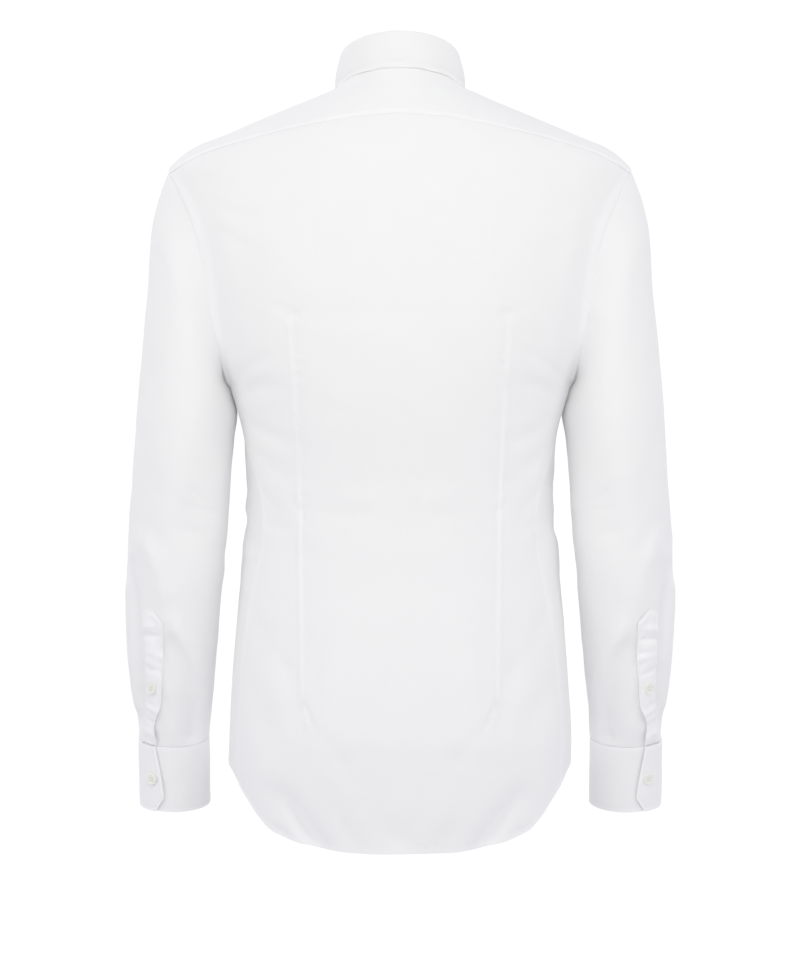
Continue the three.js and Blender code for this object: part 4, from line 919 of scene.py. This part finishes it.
# %% Cuffs
CUFF_HEIGHT, CUFF_START, CUFF_END = 67.5, 33.0, 436.0
CUFF_X, CUFF_Y, CUFF_LEAN = 227.8, -40, 12
CUFF_HALF_WIDTH, CUFF_HALF_DEPTH, CUFF_LAP, CUFF_LAP_RUN = 34.2, 37.5, 2.55, 55


def cuff_point(angle, down):
    lap = CUFF_LAP * smooth(angle, 360 + CUFF_START - CUFF_LAP_RUN, 360 + CUFF_START)
    a, lean = np.radians(angle), math.radians(CUFF_LEAN)
    depth = (CUFF_HALF_DEPTH + lap) * np.sin(a)
    x, y = CUFF_X + (CUFF_HALF_WIDTH + lap) * np.cos(a), CUFF_Y + depth * math.cos(lean)
    return points(x, y - down * math.sin(lean), SLEEVE_END - depth * math.sin(lean) - down * math.cos(lean))


V, U = np.meshgrid(steps(30, 66, (0.6, 1.3, 2.2)), steps(150, 240, (0.6, 1.3, 2.2)), indexing="ij")
turn = mix(CUFF_START, CUFF_END, U) - 14 * V**1.5 * smooth(U, 0.9, 1)
mitre = 15 * np.clip((turn - (CUFF_END - 15)) / 15, 0, 1)
base = cuff_point(turn, (CUFF_HEIGHT - mitre) * (1 - V))
cuff_points, cuffs = {}, {}
for half, side in ((1, "left"), (-1, "right")):
    start, end, low, high = edge_distance(base)
    edge = np.minimum(np.minimum(start, end), low)
    lift = 0.9 - 0.28 * np.exp(-(((edge - 5) / 0.9) ** 2)) * smooth(high, 0, 3)
    shift = 0 if half > 0 else 170
    u = turn * 0.65 + shift
    lift += 0.5 * noise(u, high, 30, 26, 61) + 0.25 * noise(u, high, 11, 30, 62)
    lift -= 0.2 * np.exp(-(high / 1.2) ** 2)
    cuff_points[half] = raised(base, lift) * (half, 1, 1)
    # Only the cuff's edges are whiter, though all of it is doubled: painted highlight for the light line along its
    # edges.
    cuffs[half] = cloth(f"cuff_{side}_cloth", cuff_points[half], 0.9, poplin, both=0.35,
                       layers_and_highlight=0.8 * seam_layers_and_highlight(np.minimum(edge, high), 2.5))

# %% [markdown]
# ## Collar
#
# The stand is a stiff band round the neck and the leaf folds over its top edge and falls outside it.
# Both are doubled cloth with an interlining, so they are thicker and smoother than the rest.

# %% Stand and leaf surfaces
ROLL, LEAF_START = 1.95, 176.0


def neck_edge(angle):
    edge = neck_seam(np.abs(angle))
    around, way = plan_angle(edge), np.sign(angle)
    lift = way * overlap_lift(around, edge[..., 2])
    edge = edge + body_normal(around, np.minimum(edge[..., 2], 14)) * lift[..., None]
    return edge * points(way, 1, 1)


def stand_top(angle):
    a = np.radians(angle)
    c = np.cos(a)
    return points(56.2 * np.sin(a), -1.5 + 59 * c, 24.7 + 32.8 * c - 6.9 * c * c - 2 * smooth(c, 0.1, 0.9))


def stand_base(angle):
    angle = np.where(np.abs(angle) < 1e-3, 1e-3, angle)
    edge = neck_edge(angle)
    tangent = unit(neck_edge(angle + 1) - neck_edge(angle - 1))
    normal = body_normal(plan_angle(edge), np.minimum(edge[..., 2], 14))
    out = unit(np.cross(tangent, normal))
    out = out * np.where(np.sum(out[..., :2] * edge[..., :2], -1) > 0, -1, 1)[..., None]
    along = stand_top(angle) - edge
    along = unit(along - tangent * np.sum(along * tangent, -1)[..., None])
    turn = np.arccos(np.clip(np.sum(out * along, -1), -1, 1)) / 2
    rise = np.sign(np.sum(along * normal, -1))
    way = out * np.cos(turn)[..., None] + normal * (rise * np.sin(turn))[..., None]
    return edge + way * (2.3 * np.sin(turn))[..., None]


def stand_point(angle, share):
    low, high = stand_base(angle), stand_top(angle)
    p = low + (high - low) * np.asarray(share)[..., None]
    past = np.radians(np.abs(angle) - 180) * NECK_DEPTH
    lift = 1.25 * np.sign(angle) * smooth(past, -OVERLAP_RAMP, -OVERLAP_WIDTH)
    return p + unit(p * (1, 1, 0)) * (lift * share)[..., None]


def leaf_point(angle, v):
    top = stand_point(angle, np.ones(np.shape(angle)))
    upward = unit(top - stand_base(angle))
    tangent = unit(stand_top(angle + 1) - stand_top(angle - 1))
    outward = unit(np.cross(upward, tangent))
    outward = outward * np.where(np.sum(outward[..., :2] * top[..., :2], -1) < 0, -1, 1)[..., None]
    arc = math.pi * np.clip(v, 0, 1)
    p = top + upward * (0.3 + ROLL * np.sin(arc))[..., None] + outward * (ROLL * (1 - np.cos(arc)))[..., None]
    at = {name: follow(LEAF_EDGE, "angle", name, np.abs(angle)) for name in "xyz"}
    close = mix(0.94, 0.955, smooth(np.abs(angle), 40, 60))
    close = mix(close, 1, smooth(np.abs(angle), 95, 135))
    x, y = at["x"] * close, at["y"] * close
    low = at["z"] + mix(1.4, -1.2, smooth(np.abs(angle), 0, 32))
    low -= 5 * smooth(np.abs(angle), 45, 75) * (1 - smooth(np.abs(angle), 110, 130))
    edge = points(np.sign(angle) * x, y, np.maximum(low, shoulder_height(x, y) + 1.7))
    fall = np.clip(v - 1, 0, 1)
    bulge = outward * (1.6 * np.sin(math.pi * fall))[..., None]
    return np.where((v <= 1)[..., None], p, p + (edge - p) * fall[..., None] + bulge)


LEAF_EDGE = table("angle x y z", [
    (0, 0, 66.5, 15.5), (30, 34, 57.5, 13.5), (60, 57, 33, 8.5), (80, 65, 10, 4.5), (95, 67.5, -9, 0),
    (112, 67, -28, -12), (130, 63, -48, -28), (148, 57, -66, -44), (164, 49, -80, -58), (176, 43, -88, -70),
])

# %% Collar stand
V, U = np.meshgrid(steps(20, 36, (0.6, 1.3)), steps(220, 400, (0.6, 1.3, 2.2)), indexing="ij")
angle = mix(-NECK_END, NECK_END, U)
to_end = np.radians(NECK_END - np.abs(angle)) * NECK_DEPTH
share = V * (1 - 0.55 * np.clip(1 - to_end / 12, 0, 1) ** 2)
base = stand_point(angle, share)
stand_points = raised(base, 0.9 + 0.15 * noise(angle, V * 36, 30, 20, 71))
stand = cloth("collar_stand_cloth", stand_points, 1.8, poplin, both=0.4)

# %% Collar leaf
rows = np.concatenate([np.linspace(0, 1, 11)[:-1], 1 + steps(40, 46, (0.5, 1.1, 1.9))])
V, U = np.meshgrid(rows, steps(240, 420, (0.6, 1.3, 2.2)), indexing="ij")
share = 2 * U - 1
angle = LEAF_START * np.sign(share) * np.maximum(np.abs(share), 1e-6) ** 0.92
base = leaf_point(angle, V)
left, right, low, high = edge_distance(base)
edge = np.minimum(np.minimum(left, right), high)
lift = 0.75 - 0.22 * np.exp(-(((edge - 6) / 0.9) ** 2)) * smooth(low, 8, 14)
lift += 0.35 * noise(angle, high, 26, 24, 72) * smooth(low, 8, 20)
leaf_points = raised(base, lift)
# Only the leaf's edge is whiter: painted highlight for the light line along its lower edge, with the doubled cloth
# there.
leaf = cloth("collar_leaf_cloth", leaf_points, 1.5, poplin, both=0.45, layers_and_highlight=0.8 * seam_layers_and_highlight(edge, 2.5))

# %% [markdown]
# ## Stitches
#
# Seams on a dress shirt are topstitched with about seven stitches in 20 mm. One stitch is modelled as a
# small flattened bead and copied along each seam line, following the cloth it lies on. A bump pattern
# could fake them, but real beads catch the light from every side.

# %% One stitch
STITCH_LENGTH, STITCH_STEP = 2.3, 2.9
bpy.ops.object.select_all(action="DESELECT")
bpy.ops.mesh.primitive_uv_sphere_add(segments=6, ring_count=4, radius=0.5)
bead = bpy.context.object
bpy.ops.object.mode_set(mode="EDIT")
bpy.ops.transform.rotate(value=math.pi / 2, orient_axis="Y", center_override=(0, 0, 0))
bpy.ops.transform.resize(value=(STITCH_LENGTH, 0.62, 0.42))
bpy.ops.object.mode_set(mode="OBJECT")
bead_points = np.array([v.co for v in bead.data.vertices])
bead_faces = [list(face.vertices) for face in bead.data.polygons]
bpy.data.objects.remove(bead)
print("faces in one stitch:", len(bead_faces))


# %% Lines beside the edges of a grid
def line_beside(p, edge, distance, closed=False):
    """Points and normals on a grid, this many mm inside one of its edges."""
    normals = outward_normals(p, closed)
    if edge in ("left", "right"):
        p, normals = p.swapaxes(0, 1), normals.swapaxes(0, 1)
    if edge in ("right", "high"):
        p, normals = p[::-1], normals[::-1]
    step = np.linalg.norm(np.diff(p, axis=0), axis=-1)
    far = np.concatenate([np.zeros((1, p.shape[1])), np.cumsum(step, 0)])
    row = np.clip((far < distance).sum(0), 1, len(p) - 1)
    column = np.arange(p.shape[1])
    t = ((distance - far[row - 1, column]) / (far[row, column] - far[row - 1, column]))[:, None]
    return mix(p[row - 1, column], p[row, column], t), mix(normals[row - 1, column], normals[row, column], t)


def cut(line, start, end):
    """The part of a line between two shares of its length."""
    p, normals = line
    far = np.concatenate([[0], np.cumsum(np.linalg.norm(np.diff(p, axis=0), axis=-1))])
    keep = (far >= start * far[-1]) & (far <= end * far[-1])
    return p[keep], normals[keep]


def sew(name, lines, lift=0.1):
    places, frames = [], []
    for p, normals in lines:
        far = np.concatenate([[0], np.cumsum(np.linalg.norm(np.diff(p, axis=0), axis=-1))])
        at = np.arange(STITCH_STEP, far[-1] - STITCH_STEP / 2, STITCH_STEP)
        middle = np.stack([np.interp(at, far, p[:, k]) for k in range(3)], -1)
        ahead = np.stack([np.interp(at + 0.8, far, p[:, k]) for k in range(3)], -1)
        out = unit(np.stack([np.interp(at, far, normals[:, k]) for k in range(3)], -1))
        along = unit(ahead - middle)
        beside = unit(np.cross(out, along))
        places.append(middle + out * lift)
        frames.append(np.stack([along, beside, np.cross(along, beside)], 1))
    places, frames = np.concatenate(places), np.concatenate(frames)
    corners = (bead_points @ frames + places[:, None]).reshape(-1, 3)
    count = len(bead_points)
    faces = [[k + count * n for k in face] for n in range(len(places)) for face in bead_faces]
    piece = new_piece(name, corners, faces, thread)
    piece.data.polygons.foreach_set("use_smooth", [True] * len(faces))
    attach(piece, "root")
    print(name, "stitches", len(places))
    return piece


# %% Seam lines of the body
HEM_ROW, SIDE_ROW, ARMHOLE_ROW, UNDERARM = 6, 6.2, 11, 0.62
sew("stitches_back", [
    line_beside(back_points, "low", HEM_ROW),
    line_beside(back_points, "left", SIDE_ROW), line_beside(back_points, "right", SIDE_ROW),
    cut(line_beside(back_points, "left", ARMHOLE_ROW), UNDERARM, 1),
    cut(line_beside(back_points, "right", ARMHOLE_ROW), UNDERARM, 1),
])
for half, side in ((1, "left"), (-1, "right")):
    p = front_points[half]
    sew("stitches_front_" + side, [
        line_beside(p, "low", HEM_ROW), line_beside(p, "left", 4.5),
        cut(line_beside(p, "right", ARMHOLE_ROW), UNDERARM, 1), line_beside(p, "left", FRONT_BAND),
    ])
sew("stitches_yoke", [line_beside(yoke_points, "low", 1.8), line_beside(yoke_points, "left", 1.8),
                      line_beside(yoke_points, "right", 1.8)])

# %% Seam lines of the cuffs, plackets and collar
for half, side in ((1, "left"), (-1, "right")):
    cuff, strip = cuff_points[half], placket_points[half]
    sew("stitches_cuff_" + side, [
        line_beside(cuff, "low", 5), cut(line_beside(cuff, "left", 5), 0.08, 1),
        cut(line_beside(cuff, "right", 5), 0.1, 1), line_beside(cuff, "high", 1.6),
    ])
    sew("stitches_placket_" + side, [
        line_beside(strip, "left", 2), line_beside(strip, "right", 2), line_beside(strip, "high", 2),
        line_beside(strip, "high", 24),
    ])
sew("stitches_collar", [
    cut(line_beside(leaf_points, "high", 6), 0.015, 0.985), cut(line_beside(leaf_points, "left", 6), 0.1, 0.9),
    cut(line_beside(leaf_points, "right", 6), 0.1, 0.9), line_beside(stand_points, "low", 1.5),
])

# %% [markdown]
# ## Buttons and buttonholes
#
# The buttons are 11 mm across with a raised rim and four holes, sewn with crossed thread. One is shaped
# from a cylinder by insets and bevels, its holes are cut with small cylinders, and it is copied to the
# cuffs, the plackets, the stand and the left front. A buttonhole is a narrow ring of satin stitches
# round a slit.

# %% One button
BUTTON_RADIUS, HOLE_RADIUS, HOLE_SPREAD = 5.5, 0.75, 1.15


def edit(piece):
    choose(piece)
    bpy.ops.object.mode_set(mode="EDIT")
    bpy.ops.mesh.select_all(action="DESELECT")
    bpy.ops.mesh.select_mode(type="FACE")
    bpy.ops.object.mode_set(mode="OBJECT")


def pick_faces(piece, test):
    for face in piece.data.polygons:
        face.select = test(face)
    bpy.ops.object.mode_set(mode="EDIT")


bpy.ops.object.select_all(action="DESELECT")
bpy.ops.mesh.primitive_cylinder_add(vertices=40, radius=BUTTON_RADIUS, depth=2.2, location=(0, 0, 1.1))
button = bpy.context.object
button.name = "button_model"
bpy.ops.object.transform_apply(location=True, rotation=True, scale=True)
edit(button)
pick_faces(button, lambda face: face.normal.z > 0.9)
bpy.ops.mesh.inset(thickness=1.0)
bpy.ops.mesh.inset(thickness=0.5)
bpy.ops.transform.translate(value=(0, 0, -0.55))
bpy.ops.mesh.inset(thickness=1.6)
bpy.ops.transform.translate(value=(0, 0, 0.12))
bpy.ops.object.mode_set(mode="OBJECT")
edit(button)
pick_faces(button, lambda face: face.normal.z < -0.9)
bpy.ops.mesh.inset(thickness=1.2)
bpy.ops.transform.translate(value=(0, 0, -0.15))
bpy.ops.object.mode_set(mode="OBJECT")
soft = button.modifiers.new("round", "BEVEL")
soft.width, soft.segments, soft.limit_method, soft.angle_limit = 0.32, 3, "ANGLE", math.radians(35)
bpy.ops.object.modifier_apply(modifier="round")
for turn in range(4):
    x, y = (HOLE_SPREAD * s for s in ((1, 1), (-1, 1), (-1, -1), (1, -1))[turn])
    bpy.ops.object.select_all(action="DESELECT")
    bpy.ops.mesh.primitive_cylinder_add(vertices=16, radius=HOLE_RADIUS, depth=6, location=(x, y, 1))
    drill = bpy.context.object
    bpy.context.view_layer.objects.active = button
    hole = button.modifiers.new("hole", "BOOLEAN")
    hole.operation, hole.solver, hole.object = "DIFFERENCE", "EXACT", drill
    bpy.ops.object.modifier_apply(modifier="hole")
    bpy.data.objects.remove(drill)
button.data.materials.clear()
button.data.materials.append(resin)
print("button faces:", len(button.data.polygons))

# %% Its crossed thread
bpy.ops.object.select_all(action="DESELECT")
bpy.ops.mesh.primitive_cylinder_add(vertices=8, radius=0.42, depth=2.9, rotation=(0, math.pi / 2, 0))
strand = bpy.context.object
strand.name = "strand_model"
edit(strand)
bpy.ops.object.mode_set(mode="EDIT")
bpy.ops.mesh.select_all(action="SELECT")
bpy.ops.mesh.subdivide(number_cuts=1)
bpy.ops.object.mode_set(mode="OBJECT")
bpy.ops.object.transform_apply(location=True, rotation=True, scale=True)
strand_points = np.array([v.co for v in strand.data.vertices])
strand_points[:, 2] = strand_points[:, 2] * 0.7 + 1.95 - 0.32 * (strand_points[:, 0] / 1.45) ** 4
strand_faces = [list(face.vertices) for face in strand.data.polygons]
bpy.data.objects.remove(strand)
button_points = np.array([v.co for v in button.data.vertices])
button_faces = [list(face.vertices) for face in button.data.polygons]
bpy.data.objects.remove(button)


# %% Buttonhole
HOLE_LENGTH, HOLE_WIDTH = 14.0, 2.6


def satin_ring(length, width, around=64, ribs=6):
    """A thin raised ring round a slit, along x, with the ribs of its satin stitches."""
    t = np.linspace(0, 2 * math.pi, around, endpoint=False)
    straight = length / 2 - width / 2
    x = np.clip(np.cos(t) * (straight + width), -straight, straight) + np.cos(t) * width / 2 * 0.62
    y = np.sign(np.sin(t)) * np.abs(np.sin(t)) ** 0.35 * width / 2 * 0.62
    s = np.linspace(0, 2 * math.pi, ribs, endpoint=False)
    rib = 1 + 0.18 * np.where(np.arange(around) % 2, 1, -1)
    ring = np.stack([x, y, np.zeros(around)], -1)
    out = unit(np.stack([np.cos(t), np.sin(t) * 3, 0 * t], -1))
    tube = ring[:, None] + 0.62 * out[:, None] * np.cos(s)[None, :, None] * rib[:, None, None]
    tube[..., 2] += 0.32 * np.sin(s)[None] * rib[:, None]
    index = np.arange(around * ribs).reshape(around, ribs)
    ahead, above = np.roll(index, -1, 0), np.roll(index, -1, 1)
    faces = np.stack([index, ahead, np.roll(ahead, -1, 1), above], -1).reshape(-1, 4).tolist()
    return tube.reshape(-1, 3), faces


ring_points, ring_faces = satin_ring(HOLE_LENGTH, HOLE_WIDTH)


# %% Fasten a button at a place on a grid
def nearest(p, at):
    """The grid's point nearest to a place, with its normal."""
    row, column = np.unravel_index(np.argmin(np.linalg.norm(p - at, axis=-1)), p.shape[:2])
    return p[row, column], outward_normals(p)[row, column]


def loose_mesh(name, parts, spot, material):
    corners = np.concatenate([part[0] for part in parts])
    faces, start = [], 0
    for part_points, part_faces in parts:
        faces += [[k + start for k in face] for face in part_faces]
        start += len(part_points)
    place, frame3 = spot
    piece = new_piece(name, corners @ frame3 + place, faces, material)
    choose(piece)
    bpy.ops.object.shade_smooth_by_angle(angle=math.radians(40))
    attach(piece, "root")
    return piece


def turned(part, angle):
    c, s = math.cos(angle), math.sin(angle)
    return part[0] @ np.array([[c, s, 0], [-s, c, 0], [0, 0, 1]]), part[1]


def fasten(name, node, p, at, hole_angle, lift=0.45):
    """A button with its thread, and the buttonhole it goes through, turned by an angle from level."""
    place, normal = nearest(p, at)
    level = unit(np.cross((0, 0, 1), normal))
    frame3 = np.stack([level, np.cross(normal, level), normal])
    on_top = place + normal * lift
    disc = loose_mesh(name, [(button_points, button_faces)], (on_top, frame3), resin)
    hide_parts(node)
    strand = (strand_points, strand_faces)
    cross = [turned(strand, math.pi / 4), turned(strand, -math.pi / 4)]
    loose_mesh(name + "_thread", cross, (on_top, frame3), thread)
    ring = turned((ring_points, ring_faces), hole_angle)
    loose_mesh(name + "_buttonhole", [ring], (place + normal * 0.12, frame3), thread)


# %% Buttons of the cuffs, plackets, stand and front
LEVEL, UPRIGHT = 0, math.pi / 2
CUFF_BUTTON_ANGLE, PLACKET_BUTTON_Z = 416.0, -585.0
FRONT_BUTTONS, FRONT_BUTTON_TOP, FRONT_BUTTON_STEP = 6, -98.0, 90
on_cuff = cuff_point(np.array(CUFF_BUTTON_ANGLE), np.array(CUFF_HEIGHT / 2))
placket_z = np.array(PLACKET_BUTTON_Z)
on_placket = sleeve_point(sleeve_angle(np.array(2.0), placket_z), placket_z)
for half, side in ((1, "left"), (-1, "right")):
    mirror = (half, 1, 1)
    fasten("cuff_button_" + side, "button_cuff_" + side, cuff_points[half], on_cuff * mirror, LEVEL)
    fasten("placket_button_" + side, "button_sleeve_" + side, placket_points[half], on_placket * mirror, UPRIGHT)
for number in range(FRONT_BUTTONS):
    on_front = body_point(np.array(180.0), np.array(FRONT_BUTTON_TOP - FRONT_BUTTON_STEP * number))
    fasten(f"front_button_{number + 1}", f"button_front_{number + 1}", front_points[1], on_front, UPRIGHT)
fasten("stand_button", "button_collar", stand_points, stand_point(np.array(180.0), np.array(0.5)), LEVEL)

# %% [markdown]
# ## Floor, light and camera
#
# The shirt hangs at the height where it is worn, over a plain pale floor. The light is a white studio:
# a grey room that is brighter above than below, a large soft lamp high up behind the back, one at each
# side and two for the front, so the cloth keeps its white and the folds and the parts low down turn
# grey. A white shirt in a white studio has all its shades close together. A display gamma of 1.6 does
# that, where weaker lamps would only make it dull. What the camera sees past the shirt is a plain white
# wall. The camera looks from behind, square to the back.

# %% Floor
bpy.ops.object.select_all(action="DESELECT")
bpy.ops.mesh.primitive_circle_add(vertices=96, radius=4, fill_type="NGON", location=(0, 0, -1.48))
floor = bpy.context.object
floor.name = "floor"
floor_paint, tree, skin = new_material("pale_floor_paint", {"Roughness": 0.9, "Base Color": linear("#EDEDED")})
floor.data.materials.append(floor_paint)
floor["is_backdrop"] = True

# %% World and lamps
SKY = {0.0: "#2A2A2B", 0.36: "#3A3A3C", 0.5: "#868688", 0.72: "#DADAF1", 1.0: "#959595"}
BEHIND_SHIRT, BEHIND_CAMERA = 1.35, 1.0
world = bpy.data.worlds.new("white_studio")
bpy.context.scene.world = world
world.use_nodes = True
tree = world.node_tree
room = tree.nodes["Background"]
way = add_node(tree, "ShaderNodeTexCoord")
split = add_node(tree, "ShaderNodeSeparateXYZ", {}, {"Vector": way.outputs["Generated"]})
height_share = add_node(tree, "ShaderNodeMapRange", {"From Min": -1.0, "From Max": 1.0}, {"Value": split.outputs["Z"]})
ramp = add_node(tree, "ShaderNodeValToRGB", {}, {"Fac": height_share.outputs["Result"]})
stops = ramp.color_ramp.elements
while len(stops) < len(SKY):
    stops.new(0.5)
for stop, (place, code) in zip(stops, SKY.items()):
    stop.position, stop.color = place, linear(code)
tree.links.new(ramp.outputs["Color"], room.inputs["Color"])
side = add_node(tree, "ShaderNodeMapRange", {"From Min": -0.35, "From Max": 0.35, "To Min": BEHIND_SHIRT,
                                             "To Max": BEHIND_CAMERA, "interpolation_type": "SMOOTHSTEP"},
                {"Value": split.outputs["Y"]})
tree.links.new(side.outputs["Result"], room.inputs["Strength"])
wall = add_node(tree, "ShaderNodeBackground", {"Color": (1, 1, 1, 1), "Strength": 1.05})
ray = add_node(tree, "ShaderNodeLightPath")
pick = add_node(tree, "ShaderNodeMixShader", {}, {"Fac": ray.outputs["Is Camera Ray"]})
tree.links.new(room.outputs["Background"], pick.inputs[1])
tree.links.new(wall.outputs["Background"], pick.inputs[2])
tree.links.new(pick.outputs["Shader"], tree.nodes["World Output"].inputs["Surface"])


def lamp(name, place, target, size, power, colour="#FFFFEE"):
    light = bpy.data.lights.new(name, "AREA")
    light.color = linear(colour)[:3]
    light.shape, light.size, light.size_y, light.energy = "RECTANGLE", size[0], size[1], power
    piece = bpy.data.objects.new(name, light)
    bpy.context.scene.collection.objects.link(piece)
    piece.location = place
    piece.rotation_euler = (Vector(target) - Vector(place)).to_track_quat("-Z", "Y").to_euler()
    return piece


lamp("softbox_above", (0, 1.6, 0.65), (0, 0, -0.1), (1.4, 1.0), 12.6)
lamp("softbox_left", (1.5, 1.0, 0.0), (0, 0, -0.2), (0.8, 1.4), 5.0)
lamp("softbox_right", (-1.5, 1.0, 0.0), (0, 0, -0.2), (0.8, 1.4), 5.0)
lamp("softbox_front_left", (1.7, -1.5, 0.7), (0, 0, -0.3), (1.0, 1.4), 12)
lamp("softbox_front_right", (-1.7, -1.5, 0.3), (0, 0, -0.3), (1.0, 1.4), 7)
view = bpy.context.scene.view_settings
view.view_transform, view.gamma = "Standard", 1.6

# %% Camera, square to the back
camera_data = bpy.data.cameras.new("camera")
camera = bpy.data.objects.new("camera", camera_data)
bpy.context.scene.collection.objects.link(camera)
camera.location = (0, CAMERA_Y / 1000, CAMERA_Z / 1000)
camera.rotation_euler = (math.pi / 2, 0, math.pi)
camera_data.sensor_width, camera_data.lens = 36.0, 127.5
camera_data.clip_end = 50
bpy.context.scene.camera = camera

# Columns: nodes, flat width and length, flat area, held, what it hangs from. Metres, without seam
# allowances; the area of a doubled piece is that of one layer.
CLOTH_PIECES = {
    back: (["back"], (0.52, 0.74), 0.28, "hung", [yoke]),
    yoke: (["yoke"], (0.5, 0.19), 0.0415, "draped", []),
    front_left: (["front_left"], (0.32, 0.75), 0.182, "hung", [yoke]),
    front_right: (["front_right"], (0.32, 0.75), 0.182, "hung", [yoke]),
    sleeves[1]: (["sleeve_left"], (0.38, 0.585), 0.164, "hung", [yoke, back, front_left]),
    sleeves[-1]: (["sleeve_right"], (0.38, 0.585), 0.164, "hung", [yoke, back, front_right]),
    plackets[1]: (["sleeve_placket_left"], (0.03, 0.149), 0.0038, "laid", [sleeves[1]]),
    plackets[-1]: (["sleeve_placket_right"], (0.03, 0.149), 0.0038, "laid", [sleeves[-1]]),
    cuffs[1]: (["cuff_left"], (0.267, 0.068), 0.0175, "folded", [sleeves[1]]),
    cuffs[-1]: (["cuff_right"], (0.267, 0.068), 0.0175, "folded", [sleeves[-1]]),
    stand: (["collar_stand"], (0.454, 0.036), 0.0125, "folded", [yoke]),
    leaf: (["collar_leaf"], (0.445, 0.083), 0.0175, "folded", [stand]),
}
for piece, (nodes, flat, flat_area, held, rests_on) in CLOTH_PIECES.items():
    area = sum(face.area for face in piece.data.polygons) / 2
    print(piece.name, "area", round(area, 4), "cut", flat_area, "share", round(area / flat_area, 2))
    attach(piece, "root")
    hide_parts(*nodes)
low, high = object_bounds()
print("visual box:", [round(v, 3) for v in (*low, *high)])
